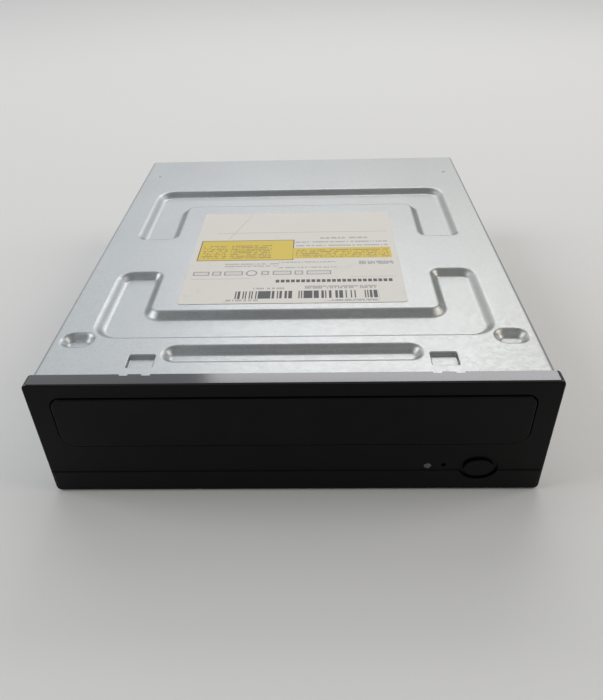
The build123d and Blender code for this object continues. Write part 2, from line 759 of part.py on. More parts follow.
def deck_plate():
    plate = block(-plate_half, plate_half, plate_front, plate_rear, plate_low, plate_high)
    plate = chamfer(plate.edges().filter_by(Axis.Z), 4)
    for y in damper_rows:
        ear = block(plate_half - 4, damper_x + 4, y - 4, y + 4, plate_low, plate_high)
        plate += both_sides(ear)
        plate -= both_sides(stud(damper_x, y, 0, 40, damper_neck))
    # the window over the pickup
    window = block(-window_half, window_half, lens_start - 13, plate_rear - 5.5, 0, 40)
    plate -= chamfer(window.edges().filter_by(Axis.Z), 2)
    # the spindle bearing's hole, and two slots for lightness
    bearing_half = bearing_radius + 0.6
    plate -= block(-bearing_half, bearing_half, spindle_y - bearing_half, spindle_y + bearing_half, 0, 40)
    plate -= both_sides(block(plate_half - 9, plate_half - 4, lens_start - 3.5, plate_rear - 20, 0, 40))
    # clips under the plate that hold the guide rods
    for y in (rod_front - 1.5, rod_rear - 1.5):
        clip = block(rod_x - 3.2, rod_x + 3.2, y, y + 3, rod_z - rod_radius, plate_low)
        clip -= block(rod_x - rod_radius, rod_x + rod_radius, y, y + 3, 0, rod_z + rod_radius)
        plate += both_sides(clip)
    # the lead screw's end bearing and the motor's bracket
    end = block(lead_x - 3, lead_x + 3, rod_rear - 1.5, rod_rear + 1.5, lead_z - 3, plate_low)
    plate += end - along_y(lead_x, lead_z, 0, rod_rear, lead_radius + running)
    half = sled_motor_radius + 0.5
    face, low = sled_motor_rear, lead_z + 2.2
    return plate + block(lead_x - half, lead_x + half, face, face + 1.2, low, plate_low)


def at_dampers(shape):
    group = Part()
    for x in (-damper_x, damper_x):
        for y in damper_rows:
            group += Pos(x, y, 0) * shape
    return group


def rubber_dampers():
    # grommets round the plate's edge
    shape = stud(0, 0, carrier_high, plate_low, damper_radius, 8)
    shape += stud(0, 0, plate_low, plate_high, damper_neck)
    shape += stud(0, 0, plate_high, damper_top, damper_radius, 8)
    return at_dampers(shape - stud(0, 0, 0, 40, small_screw_radius))


def screw(radius, length, head_radius, head_height):
    # a pan-head screw pointing down, its head's underside at zero
    return stud(0, 0, -length, 0, radius) + stud(0, 0, 0, head_height, head_radius, 8)


def damper_screws():
    return at_dampers(Pos(0, 0, damper_top) * screw(small_screw_radius, 6.0, 2.7, 0.9))


def guide_rods():
    return both_sides(along_y(rod_x, rod_z, rod_front - 3, rod_rear + 3, rod_radius))


def spindle_motor():
    half = 11.5
    low = plate_low - 4.5
    base = block(-half, half, spindle_y - half - 2.5, spindle_y + half, plate_low - 1.2, plate_low)
    base += upright(0, spindle_y, low, plate_low - 1, bearing_radius)
    return base - upright(0, spindle_y, low + 1, plate_low + 1, spindle_radius + running)


def spindle_rotor():
    rotor = upright(0, spindle_y, plate_high + 0.7, rotor_top, rotor_radius)
    return rotor - upright(0, spindle_y, plate_high, rotor_top + 1, spindle_radius)


def spindle_shaft():
    return upright(0, spindle_y, plate_low - 3.3, seat_z, spindle_radius)


def turntable():
    table = upright(0, spindle_y, rotor_top, seat_z - pad_height, turntable_radius)
    table += upright(0, spindle_y, rotor_top, hub_top, hub_radius)
    return table - upright(0, spindle_y, 0, seat_z, spindle_radius)


def turntable_pad():
    ring = upright(0, spindle_y, seat_z - pad_height, seat_z, turntable_radius - 0.4)
    return ring - upright(0, spindle_y, 0, 60, turntable_radius - 4)


def sled_motor():
    can = along_y(lead_x, lead_z, sled_motor_front, sled_motor_rear, sled_motor_radius)
    low, high = lead_z - sled_motor_flat, lead_z + sled_motor_flat
    return flat_sided(can, lead_x, sled_motor_radius + 1, low, high, sled_motor_front, sled_motor_rear)


def lead_screw():
    return along_y(lead_x, lead_z, sled_motor_rear + running, rod_rear - 0.5, lead_radius)


def pickup_base():
    y = lens_start
    half = window_half - 1.2
    body = block(-half, half, y - 10.5, y + 14, pickup_low + 1, plate_high)
    body = chamfer(body.edges().filter_by(Axis.Z), 3)
    # the sleeves on the guide rods
    body += both_sides(block(half - 2, rod_x + 3.4, y - 6.5, y + 11, rod_z - 3.2, plate_low - 0.6))
    for x in (-rod_x, rod_x):
        body -= along_y(x, rod_z, y - 20, y + 30, rod_radius + running)
    body -= block(-nest_half, nest_half, y - 8, y + 8, nest_low, plate_high + 1)
    # the follower that rides in the lead screw's thread
    return body + block(rod_x + 3, lead_x - lead_radius - slip, y - 4, y + 6, lead_z - 2, lead_z + 2)


def around_lens(x_half, y_half, z_low, z_high):
    return block(-x_half, x_half, lens_start - y_half, lens_start + y_half, z_low, z_high)


def actuator_cover():
    wall = 0.7
    x_half, y_half = 8.6, 7.6
    cover = chamfer(around_lens(x_half, y_half, nest_low, actuator_top).edges().filter_by(Axis.Z), 1.2)
    cover -= around_lens(x_half - wall, y_half - wall, nest_low - 1, actuator_top - wall)
    return cover - around_lens(lens_window, lens_window, nest_low, actuator_top + 1)


def lens_holder():
    rim = lens_radius + 1
    return around_lens(6, 5, nest_low, holder_top) + around_lens(rim, rim, holder_top, lens_low)


def objective_lens():
    return upright(0, lens_start, lens_low, lens_high, lens_radius)


def cam_slider():
    plate = block(-cam_half, cam_half + cam_travel, cam_front, cam_rear, cam_low, cam_high)
    for x in (-cam_pin_x, cam_pin_x):
        plate -= cam_slot(x)
    return plate


def cam_slot(x):
    # a slanted slot: as the plate moves to +X the pin ends low
    wide = cam_pin_radius + 0.25
    plane = Plane.XZ.offset(-cam_rear - 1)
    path = SlotCenterToCenter((cam_travel**2 + cam_drop**2) ** 0.5, 2 * wide)
    lean = degrees(atan2(cam_drop, cam_travel))
    middle = (x - cam_travel / 2, cam_pin_z - cam_drop / 2)
    return extrude(plane * Pos(*middle) * Rot(0, 0, lean) * path, amount=5)


def main_board():
    board = block(-board_half, board_half, board_front, board_rear, board_low, board_top)
    for x, y in board_posts()[:4]:
        board -= stud(x, y, 0, 20, small_screw_radius)
    return board


def chip(x, from_rear, width, length, height):
    y = board_rear - from_rear
    return block(x - width / 2, x + width / 2, y - length / 2, y + length / 2, board_top, board_top + height)


def board_chips():
    # the processor, its memory, the motor driver, a flash chip and the regulator
    chips = chip(-8, 41.4, 20, 20, 1.5) + chip(-34, 55.4, 10, 18, 1.2) + chip(24, 55.4, 12, 9, 1.6)
    chips += chip(-36, 29.4, 8, 6, 1.4) + chip(28, 33.4, 9, 9, 1.2)
    # a row of capacitors
    pitch = 9
    for i in range(6):
        chips += chip(12.4 - board_half + pitch * i, 12, 4.4, 3.0, 2.0)
    return chips


def data_socket():
    low, high, mouth, wall = board_top, board_top + socket_height, socket_mouth, socket_wall
    half = socket_width / 2
    socket = block(socket_x - half, socket_x + half, mouth - socket_depth, mouth, low, high)
    inside = half - wall
    socket -= block(socket_x - inside, socket_x + inside, mouth - 9, mouth + 1, low + wall, high - wall)
    # two tongues, the short one for data and the long one for power, each with its key
    for start, length in ((-16.6, 10.4), (-4.2, 20.6)):
        left, tip = socket_x + start, mouth - wall
        socket += block(left, left + length, mouth - 9.5, tip, socket_middle - 0.6, socket_middle + 0.6)
        socket += block(left, left + 1.2, mouth - 9.5, tip, socket_middle - 0.6, socket_middle + 1.6)
    return socket


def socket_pins():
    pins = Part()
    thick = 0.15
    for start, count in ((-14.8, 7), (-2.3, 15)):
        for i in range(count):
            x, top = socket_x + start + contact_pitch * i, socket_middle - 0.6
            pins += block(x - 0.4, x + 0.4, socket_mouth - 9, socket_mouth - 2.2, top - thick, top)
    return pins


def front_board():
    front, right = front_y + 2.6, board_half + 0.6
    board = block(front_board_left, right, front, front + 25.4, board_low, front_board_top)
    for x, y in board_posts()[4:]:
        board -= stud(x, y, 0, 20, small_screw_radius)
    return board


def eject_switch():
    half, tip = 3.3, 1.3
    x, z, back, front = button_x, button_z, front_y + 2.8, front_y + button_travel
    body = block(x - half, x + half, back, back + 3.8, front_board_top, z + half - 0.7)
    return body + block(x - tip, x + tip, front, back + 1, z - tip, z + tip)


def status_lamp():
    half = 1.6
    front = front_y + 0.4
    return block(lamp_x - half, lamp_x + half, front, front + 5.2, front_board_top, lamp_z + half)


def case_screws():
    group = Part()
    fastener = Rot(180, 0, 0) * screw(screw_radius, 9.0, 2.8, 1.0)
    for x in (-post_x, post_x):
        for y in (post_front, post_rear):
            group += Pos(x, y, frame_low - sheet) * fastener
    return group


def board_screws():
    group = Part()
    for i, (x, y) in enumerate(board_posts()):
        top = board_top if i < 4 else front_board_top
        group += Pos(x, y, top) * screw(small_screw_radius, top - 1.2, 2.4, 1.0)
    return group


def bridge_screws():
    fastener = screw(small_screw_radius, 3.6, 2.3, 0.9)
    return both_sides(Pos(bridge_screw_x, bridge_screw_y, bridge_z + sheet) * fastener)


pieces = [
    top_cover, bottom_cover, front_bezel, rating_label, led_lens, main_frame, clamp_bridge, bridge_screws,
    case_screws, main_board, board_chips, data_socket, socket_pins, board_screws, front_board, eject_switch,
    status_lamp, loading_motor, drive_belt, tray_door, disc_tray, tray_gear, pulley_gear, motor_pulley,
    motor_shaft, eject_button, lifter_frame, deck_plate, rubber_dampers, damper_screws, guide_rods,
    spindle_motor, sled_motor, spindle_rotor, spindle_shaft, turntable, turntable_pad, clamper, clamp_magnet,
    pickup_base, actuator_cover, lens_holder, objective_lens, lead_screw, cam_slider,
]

os.makedirs("parts", exist_ok=True)
for piece in pieces:
    export_step(piece(), f"parts/{piece.__name__}.step")
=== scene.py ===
# Internal disc writer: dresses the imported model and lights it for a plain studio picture
import json
import math

import bpy

from mathutils import Matrix, Vector


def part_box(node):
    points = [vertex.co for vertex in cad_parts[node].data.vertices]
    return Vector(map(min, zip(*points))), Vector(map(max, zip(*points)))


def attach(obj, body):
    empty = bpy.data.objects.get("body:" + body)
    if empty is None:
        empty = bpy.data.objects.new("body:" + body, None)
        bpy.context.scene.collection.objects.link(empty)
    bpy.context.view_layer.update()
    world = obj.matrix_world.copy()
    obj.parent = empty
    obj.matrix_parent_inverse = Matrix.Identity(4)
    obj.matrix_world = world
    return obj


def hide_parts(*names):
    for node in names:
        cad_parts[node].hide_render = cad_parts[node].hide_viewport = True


mm = 0.001
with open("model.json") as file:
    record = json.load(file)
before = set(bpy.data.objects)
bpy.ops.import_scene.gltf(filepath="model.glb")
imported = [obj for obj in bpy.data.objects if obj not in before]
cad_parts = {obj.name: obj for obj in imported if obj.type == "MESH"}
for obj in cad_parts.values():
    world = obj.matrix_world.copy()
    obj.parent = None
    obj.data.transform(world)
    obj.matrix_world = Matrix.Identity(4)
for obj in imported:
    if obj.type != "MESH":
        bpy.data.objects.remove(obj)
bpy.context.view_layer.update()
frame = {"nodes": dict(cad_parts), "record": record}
print("frame loaded:", len(frame["nodes"]), "nodes")


# Numbers that change over a surface, written as plain sums
class Field:
    def __init__(self, finish, socket):
        self.finish = finish
        self.socket = socket

    def __add__(self, other):
        return self.finish.maths("ADD", self, other)

    def __radd__(self, other):
        return self.finish.maths("ADD", other, self)

    def __sub__(self, other):
        return self.finish.maths("SUBTRACT", self, other)

    def __rsub__(self, other):
        return self.finish.maths("SUBTRACT", other, self)

    def __mul__(self, other):
        return self.finish.maths("MULTIPLY", self, other)

    def __rmul__(self, other):
        return self.finish.maths("MULTIPLY", other, self)

    def __truediv__(self, other):
        return self.finish.maths("DIVIDE", self, other)

    def __gt__(self, other):
        return self.finish.maths("GREATER_THAN", self, other)

    def __lt__(self, other):
        return self.finish.maths("LESS_THAN", self, other)


class Finish:
    def __init__(self, name, colour, roughness, metallic=0.0, coat=0.0, specular=0.5):
        self.material = bpy.data.materials.new(name)
        self.material.use_nodes = True
        self.tree = self.material.node_tree
        self.surface = self.tree.nodes["Principled BSDF"]
        self.set("Base Color", (*colour, 1.0))
        self.set("Roughness", roughness)
        self.set("Metallic", metallic)
        self.set("Coat Weight", coat)
        self.set("Specular IOR Level", specular)
        self.material.diffuse_color = (*colour, 1.0)
        self.objectPlace = None

    def fill(self, socket, value):
        if isinstance(value, Field):
            self.tree.links.new(value.socket, socket)
        else:
            socket.default_value = value

    def set(self, name, value):
        self.fill(self.surface.inputs[name], value)

    def node(self, kind, settings=None, values=None, out=0):
        made = self.tree.nodes.new("ShaderNode" + kind)
        for key, value in (settings or {}).items():
            if key == "stops":
                ramp = made.color_ramp
                while len(ramp.elements) < len(value):
                    ramp.elements.new(0.5)
                for stop, (position, level) in zip(ramp.elements, value):
                    stop.position = position
                    stop.color = (level, level, level, 1.0)
            else:
                setattr(made, key, value)
        for key, value in (values or {}).items():
            self.fill(made.inputs[key], value)
        return Field(self, made.outputs[out])

    def maths(self, operation, first, second=0.0):
        return self.node("Math", {"operation": operation}, {0: first, 1: second})

    def place(self):
        if self.objectPlace is None:
            self.objectPlace = self.node("TexCoord", out="Object")
        return self.objectPlace

    def axes(self):
        split = self.tree.nodes.new("ShaderNodeSeparateXYZ")
        self.fill(split.inputs[0], self.place())
        return [Field(self, output) for output in split.outputs]

    def scaled(self, x, y, z):
        return self.node("VectorMath", {"operation": "MULTIPLY"}, {0: self.place(), 1: (x, y, z)})

    def noise(self, scale, detail=3.0, rough=0.5, place=None):
        values = {"Vector": place or self.place(), "Scale": scale, "Detail": detail, "Roughness": rough}
        return self.node("TexNoise", {}, values)

    def ramp(self, value, *stops):
        return self.node("ValToRGB", {"stops": stops}, {0: value})

    def blend(self, factor, first, second):
        one = first if isinstance(first, Field) else (*first, 1.0)
        two = second if isinstance(second, Field) else (*second, 1.0)
        return self.node("Mix", {"data_type": "RGBA"}, {0: factor, 6: one, 7: two}, out=2)

    def bump(self, height, distance, strength=1.0):
        values = {"Height": height, "Distance": distance, "Strength": strength}
        self.set("Normal", self.node("Bump", {}, values))

    def on(self, *names):
        for name in names:
            piece = frame["nodes"].get(name) or bpy.data.objects[name]
            piece.data.materials.clear()
            piece.data.materials.append(self.material)


# Steel of the top cover: fine speckled zinc, slightly cloudy, with a painted light tint, a little bluer to
# the left and warmer to the right
zincLook = {
    "colour": (0.47, 0.49, 0.50),
    "warmLightTint": (0.465, 0.465, 0.44),
    "dark": (0.33, 0.345, 0.345),
    "roughness": 0.40,
    "metallic": 0.92,
    "grainScale": 2600.0,
    "spangleScale": 900.0,
    "cloudScale": 26.0,
    "spread": 6.8,  # how fast the painted light tint turns warm, per metre across
}


def zincSteel():
    look = zincLook
    steel = Finish("zincSteel", look["colour"], look["roughness"], metallic=look["metallic"])
    x, y, z = steel.axes()
    grain = steel.noise(look["grainScale"], 2.0, 0.6)
    cloud = steel.noise(look["cloudScale"], 4.0, 0.55)
    cells = {"Vector": steel.place(), "Scale": look["spangleScale"]}
    spangle = steel.node("TexVoronoi", {"feature": "F1"}, cells, out="Color")
    # painted light tint: the colour turns from bluer at the left to warmer at the right
    across = steel.ramp(x * look["spread"] + 0.5, (0.0, 0.0), (1.0, 1.0))
    base = steel.blend(across, look["colour"], look["warmLightTint"])
    base = steel.blend(steel.ramp(grain, (0.32, 0.55), (0.62, 0.0)), base, look["dark"])
    base = steel.blend(steel.ramp(cloud, (0.35, 0.25), (0.65, 0.0)), base, look["dark"])
    steel.set("Base Color", base)
    shine = steel.node("SeparateColor", {}, {0: spangle})
    uneven = (grain - 0.5) * 0.22 + (shine - 0.5) * 0.06 + (cloud - 0.5) * 0.1
    steel.set("Roughness", look["roughness"] + uneven)
    steel.bump(grain + cloud * 2.0, 0.00003, 0.35)
    return steel


def sheetSteel(name, colour, roughness, grain=0.18):
    steel = Finish(name, colour, roughness, metallic=0.9)
    fine = steel.noise(1900.0, 2.0, 0.6)
    streak = steel.noise(60.0, 3.0, 0.5, steel.scaled(1.0, 14.0, 1.0))
    darker = tuple(c * 0.72 for c in colour)
    steel.set("Base Color", steel.blend(steel.ramp(fine, (0.3, 0.6), (0.65, 0.0)), colour, darker))
    steel.set("Roughness", roughness + (fine - 0.5) * grain + (streak - 0.5) * 0.12)
    steel.bump(fine, 0.00002, 0.3)
    return steel


def mouldedPlastic(name, colour, roughness, texture=5200.0, depth=0.00002, specular=0.5):
    plastic = Finish(name, colour, roughness, specular=specular)
    fine = plastic.noise(texture, 2.0, 0.55)
    wear = plastic.noise(70.0, 4.0, 0.6)
    lighter = tuple(min(1.0, c * 1.5 + 0.004) for c in colour)
    plastic.set("Base Color", plastic.blend(plastic.ramp(wear, (0.45, 0.0), (0.75, 0.35)), colour, lighter))
    plastic.set("Roughness", roughness + (fine - 0.5) * 0.12 + (wear - 0.5) * 0.14)
    plastic.bump(fine, depth, 0.5)
    return plastic


# Black of the front plate; its top strip is polished and catches the light, and its lighter, bluer colour
# there is a painted sheen
bezelLook = {
    "colour": (0.0018, 0.0019, 0.0019),
    "worn": (0.005, 0.005, 0.0055),
    "stripSheenColour": (0.006, 0.0065, 0.008),
    "stripLow": 41.75,
    "roughness": 0.36,
    "stripRoughness": 0.16,
}


def bezelPlastic():
    look = bezelLook
    plastic = Finish("bezelPlastic", look["colour"], look["roughness"], specular=0.12)
    x, y, z = plastic.axes()
    fine = plastic.noise(5200.0, 2.0, 0.55)
    wear = plastic.noise(70.0, 4.0, 0.6)
    strip = z > look["stripLow"] * mm
    base = plastic.blend(plastic.ramp(wear, (0.45, 0.0), (0.75, 0.35)), look["colour"], look["worn"])
    # painted sheen: the top strip's colour is lighter and bluer; its gloss comes from the coat and
    # roughness
    plastic.set("Base Color", plastic.blend(strip, base, look["stripSheenColour"]))
    matt = look["roughness"] + (fine - 0.5) * 0.12 + (wear - 0.5) * 0.14
    plastic.set("Roughness", matt + strip * (look["stripRoughness"] - matt))
    plastic.set("Coat Weight", strip)
    plastic.set("Coat IOR", 1.5)
    plastic.set("Coat Roughness", 0.12)
    plastic.bump(fine * (1 - strip), 0.00002, 0.5)
    return plastic


def rubber(name, colour=(0.018, 0.018, 0.018)):
    soft = Finish(name, colour, 0.75, specular=0.3)
    dust = soft.noise(420.0, 3.0, 0.6)
    soft.set("Base Color", soft.blend(soft.ramp(dust, (0.5, 0.0), (0.8, 0.4)), colour, (0.07, 0.07, 0.068)))
    soft.bump(dust, 0.00003, 0.4)
    return soft


def groundSteel(name, colour=(0.66, 0.66, 0.65), roughness=0.16):
    steel = Finish(name, colour, roughness, metallic=1.0)
    fine = steel.noise(400.0, 2.0, 0.5)
    steel.set("Roughness", roughness + (fine - 0.5) * 0.16)
    steel.set("Base Color", steel.blend(fine, colour, tuple(c * 0.82 for c in colour)))
    return steel


def circuitBoard():
    board = Finish("circuitBoard", (0.02, 0.11, 0.05), 0.32, coat=0.3)
    bricks = {"Vector": board.place(), "Scale": 190.0, "Mortar Size": 0.06}
    lanes = board.node("TexBrick", {}, bricks, out="Fac")
    mottled = board.noise(260.0, 3.0, 0.5)
    copper = board.ramp(mottled * 0.6 + lanes * 0.5, (0.42, 0.0), (0.52, 1.0))
    board.set("Base Color", board.blend(copper, (0.015, 0.085, 0.04), (0.03, 0.17, 0.075)))
    board.bump(copper, 0.00003, 0.5)
    return board


# The printed label, in millimetres from its left near corner
labelLook = {
    "paper": (0.70, 0.665, 0.61),
    "yellow": (0.66, 0.48, 0.022),
    "ink": (0.035, 0.035, 0.04),
    "grey": (0.22, 0.22, 0.23),
    "shade": (0.60, 0.57, 0.52),
    "outline": 0.35,
    "yellowFields": [(2.4, 36.8, 29.7, 45.1), (36.9, 72.7, 30.4, 38.7)],
    "framedFields": [(2.4, 36.8, 29.7, 45.1)],
    "thinLines": [(7.0, 72.6, 51.9, 0.35), (2.1, 22.7, 16.2, 0.3), (57.3, 72.8, 16.8, 0.3)],
    "letters": (1.9, 0.8),  # strokes per millimetre along and across
    "rowPitch": 1.35,
    "closePrint": [  # left, right, low, high, and how much of it stays blank
        (13.9, 29.0, 30.5, 41.5, 0.0), (3.4, 12.6, 30.5, 41.5, 0.45), (38.0, 71.8, 31.2, 37.9, 0.35),
    ],
    "printedRows": [
        (47.0, 65.1, 46.0, 47.3), (37.6, 72.0, 42.9, 43.9), (37.6, 72.0, 40.0, 40.9),
        (12.8, 32.5, 24.6, 25.4), (12.8, 32.5, 26.2, 27.0), (31.8, 52.5, 23.3, 24.1),
        (31.8, 52.5, 27.2, 28.0), (60.6, 72.8, 25.5, 28.0), (41.5, 65.6, 8.9, 10.9),
        (24.2, 35.2, 8.9, 9.9), (15.6, 27.3, 1.4, 2.5), (47.9, 65.9, 0.9, 2.1),
    ],
    "boldRow": (31.3, 71.4, 13.3, 15.2),
    "boldPitch": 1.75,
    "symbols": [
        (2.3, 8.0), (9.0, 12.2), (13.2, 19.8), (26.2, 28.9), (30.2, 36.8), (37.8, 40.8), (42.0, 50.6),
    ],
    "symbolRow": (18.6, 21.4),
    "symbolEdge": 0.5,
    "roundMark": (22.8, 20.0, 2.0),
    "bars": (18.3, 66.0, 2.9, 7.7),
    "barPitch": 0.42,
    "crease": (12.2, 46.6, 19.4, 68.4),
    "creaseWidth": 0.22,
    "creaseShadeColour": (0.42, 0.40, 0.37),
    "scuffsBelow": 30.0,
    "scuffColour": (0.50, 0.49, 0.47),
}


def inside(value, low, high):
    return (value > low) * (value < high)


def patch(u, v, left, right, low, high):
    return inside(u, left, right) * inside(v, low, high)


def printedLabel():
    look = labelLook
    paper = Finish("printedLabel", look["paper"], 0.42, specular=0.45)
    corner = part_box("rating_label")[0]
    x, y, z = paper.axes()
    u = (x - corner.x) / mm
    v = (y - corner.y) / mm
    fibre = paper.noise(900.0, 3.0, 0.6)
    cloud = paper.noise(35.0, 4.0, 0.6)
    base = paper.blend(paper.ramp(cloud, (0.3, 0.35), (0.7, 0.0)), look["paper"], look["shade"])
    edge = look["outline"]
    for left, right, low, high in look["framedFields"]:
        framed = patch(u, v, left - edge, right + edge, low - edge, high + edge)
        base = paper.blend(framed, base, look["ink"])
    for left, right, low, high in look["yellowFields"]:
        base = paper.blend(patch(u, v, left, right, low, high), base, look["yellow"])
    # short strokes of different lengths, so that a row of print reads as a broken bar
    along, over = look["letters"]
    corners = {0: paper.maths("FLOOR", u * along), 1: paper.maths("FLOOR", v * over)}
    cell = paper.node("CombineXYZ", {}, corners)
    chance = paper.node("TexWhiteNoise", {"noise_dimensions": "3D"}, {0: cell})
    strokes = (chance > 0.22) * (paper.maths("FRACT", u * along) < 0.78)
    rows = paper.maths("FRACT", v / look["rowPitch"]) < 0.5
    dense = sum(patch(u, v, *field) * (chance > blank) for *field, blank in look["closePrint"])
    base = paper.blend(dense * rows * strokes * 0.72, base, look["ink"])
    printed = sum(patch(u, v, *row) for row in look["printedRows"])
    base = paper.blend(printed * strokes * 0.8, base, look["grey"])
    for left, right, middle, width in look["thinLines"]:
        line = patch(u, v, left, right, middle - width / 2, middle + width / 2)
        base = paper.blend(line * 0.55, base, look["grey"])
    bold = patch(u, v, *look["boldRow"]) * (paper.maths("FRACT", u / look["boldPitch"]) < 0.74)
    base = paper.blend(bold, base, look["ink"])
    # plain marks of the symbol row
    low, high = look["symbolRow"]
    edge = look["symbolEdge"]
    for left, right in look["symbols"]:
        base = paper.blend(patch(u, v, left, right, low, high) * 0.85, base, look["grey"])
        middle = patch(u, v, left + edge, right - edge, low + edge, high - edge)
        base = paper.blend(middle * 0.8, base, look["paper"])
    middleX, middleY, radius = look["roundMark"]
    offX, offY = u - middleX, v - middleY
    distance = paper.maths("SQRT", offX * offX + offY * offY)
    base = paper.blend(inside(distance, radius - edge, radius), base, look["grey"])
    # the code of thin and thick bars
    slot = paper.node("CombineXYZ", {}, {0: paper.maths("FLOOR", u / look["barPitch"])})
    striped = paper.node("TexWhiteNoise", {"noise_dimensions": "3D"}, {0: slot}) > 0.48
    base = paper.blend(patch(u, v, *look["bars"]) * striped, base, look["ink"])
    # the crease, with painted shade along its fold, and the grey scuffs
    fromX, fromY, toX, toY = look["crease"]
    lean = (toX - fromX) / (toY - fromY)
    line = paper.maths("ABSOLUTE", u - (fromX + (v - fromY) * lean) + (cloud - 0.5) * 3.0)
    creased = (line < look["creaseWidth"]) * inside(v, fromY, toY)
    # painted shade: the crease's line is darkened in colour, and dented by the bump
    base = paper.blend(creased * 0.5, base, look["creaseShadeColour"])
    rubbed = paper.ramp(paper.noise(120.0, 5.0, 0.65), (0.58, 0.0), (0.74, 0.5))
    base = paper.blend(rubbed * (v < look["scuffsBelow"]), base, look["scuffColour"])
    paper.set("Base Color", base)
    paper.set("Roughness", 0.40 + (fibre - 0.5) * 0.1 + (cloud - 0.5) * 0.2)
    paper.bump(fibre * 0.3 - creased, 0.00004, 0.4)
    return paper


def clearPlastic(name):
    lens = Finish(name, (0.50, 0.54, 0.52), 0.08)
    lens.set("Transmission Weight", 0.85)
    haze = lens.noise(900.0, 2.0, 0.5)
    lens.set("Roughness", 0.06 + haze * 0.1)
    return lens


finishes = {
    "zincSteel": zincSteel(),
    "panSteel": sheetSteel("panSteel", (0.56, 0.57, 0.57), 0.42),
    "bezelPlastic": bezelPlastic(),
    "doorPlastic": mouldedPlastic("doorPlastic", (0.0018, 0.0019, 0.0019), 0.34, specular=0.12),
    "framePlastic": mouldedPlastic("framePlastic", (0.035, 0.036, 0.038), 0.5),
    "trayPlastic": mouldedPlastic("trayPlastic", (0.018, 0.018, 0.019), 0.42),
    "gearPlastic": mouldedPlastic("gearPlastic", (0.72, 0.70, 0.64), 0.38, texture=2400.0, depth=0.00001),
    "printedLabel": printedLabel(),
    "lampLens": clearPlastic("lampLens"),
    "screwSteel": groundSteel("screwSteel", (0.62, 0.62, 0.60), 0.28),
    "circuitBoard": circuitBoard(),
    "chipPlastic": mouldedPlastic("chipPlastic", (0.02, 0.02, 0.021), 0.48, texture=2600.0),
    "socketPlastic": mouldedPlastic("socketPlastic", (0.014, 0.014, 0.015), 0.45),
    "contactGold": groundSteel("contactGold", (0.80, 0.58, 0.24), 0.25),
    "lampBody": mouldedPlastic("lampBody", (0.62, 0.66, 0.50), 0.3),
    "motorCan": groundSteel("motorCan", (0.55, 0.55, 0.54), 0.32),
    "beltRubber": rubber("beltRubber"),
    "polishedSteel": groundSteel("polishedSteel"),
    "turntablePlastic": mouldedPlastic("turntablePlastic", (0.04, 0.04, 0.042), 0.4),
    "magnetPlate": groundSteel("magnetPlate", (0.45, 0.45, 0.44), 0.3),
    "pickupCasting": sheetSteel("pickupCasting", (0.48, 0.48, 0.47), 0.5, grain=0.3),
    "pickupCover": mouldedPlastic("pickupCover", (0.03, 0.03, 0.03), 0.35),
    "lensPlastic": mouldedPlastic("lensPlastic", (0.05, 0.05, 0.05), 0.4),
}

worn = {
    "zincSteel": ["top_cover"],
    "panSteel": ["bottom_cover", "clamp_bridge", "deck_plate"],
    "bezelPlastic": ["front_bezel", "eject_button"],
    "doorPlastic": ["tray_door"],
    "framePlastic": ["main_frame", "lifter_frame"],
    "trayPlastic": ["disc_tray"],
    "gearPlastic": ["tray_gear", "pulley_gear", "motor_pulley", "cam_slider", "clamper"],
    "printedLabel": ["rating_label"],
    "lampLens": ["led_lens", "objective_lens"],
    "screwSteel": ["bridge_screws", "case_screws", "board_screws", "damper_screws"],
    "circuitBoard": ["main_board", "front_board"],
    "chipPlastic": ["board_chips", "eject_switch"],
    "socketPlastic": ["data_socket"],
    "contactGold": ["socket_pins"],
    "lampBody": ["status_lamp"],
    "motorCan": ["loading_motor", "sled_motor", "spindle_motor", "spindle_rotor"],
    "beltRubber": ["drive_belt", "rubber_dampers", "turntable_pad"],
    "polishedSteel": ["guide_rods", "motor_shaft", "spindle_shaft", "lead_screw"],
    "turntablePlastic": ["turntable"],
    "magnetPlate": ["clamp_magnet"],
    "pickupCasting": ["pickup_base"],
    "pickupCover": ["actuator_cover"],
    "lensPlastic": ["lens_holder"],
}
for finishName, nodeNames in worn.items():
    finishes[finishName].on(*nodeNames)
print("finishes on all nodes")


# The hand-made pieces: all is deselected first, then parts are picked by their place, in millimetres
past = 1.0  # how far a cutter reaches beyond the piece
bodyOf = {node: body for body, nodes in frame["record"]["behaviour"]["bodies"].items() for node in nodes}


def only(piece):
    bpy.ops.object.select_all(action="DESELECT")
    piece.select_set(True)
    bpy.context.view_layer.objects.active = piece


def picked(piece, kind, test):
    # opens the piece with the parts selected whose middle, in millimetres, passes the test
    only(piece)
    mesh = piece.data
    for group in (mesh.vertices, mesh.edges, mesh.polygons):
        for part in group:
            part.select = False
    points = mesh.vertices
    for part in getattr(mesh, kind):
        if kind == "vertices":
            middle = part.co
        elif kind == "edges":
            middle = (points[part.vertices[0]].co + points[part.vertices[1]].co) / 2
        else:
            middle = part.center
        part.select = test(middle / mm)
    bpy.ops.object.mode_set(mode="EDIT")
    bpy.ops.mesh.select_mode(type={"vertices": "VERT", "edges": "EDGE", "polygons": "FACE"}[kind])


def closed():
    bpy.ops.object.mode_set(mode="OBJECT")


def everything():
    bpy.ops.object.mode_set(mode="EDIT")
    bpy.ops.mesh.select_mode(type="FACE")
    bpy.ops.mesh.select_all(action="SELECT")


def flatPlate(name, left, right, near, far, high):
    bpy.ops.object.select_all(action="DESELECT")
    middle = ((left + right) / 2 * mm, (near + far) / 2 * mm, high * mm)
    bpy.ops.mesh.primitive_plane_add(size=1.0, location=middle)
    bpy.ops.transform.resize(value=((right - left) * mm, (far - near) * mm, 1.0))
    bpy.ops.object.transform_apply(location=True, rotation=True, scale=True)
    piece = bpy.context.object
    piece.name = name
    return piece


def halved(piece, place, normal):
    only(piece)
    everything()
    bpy.ops.mesh.bisect(plane_co=[v * mm for v in place], plane_no=normal)
    closed()


def oneFace(piece):
    only(piece)
    everything()
    bpy.ops.mesh.dissolve_faces()
    closed()


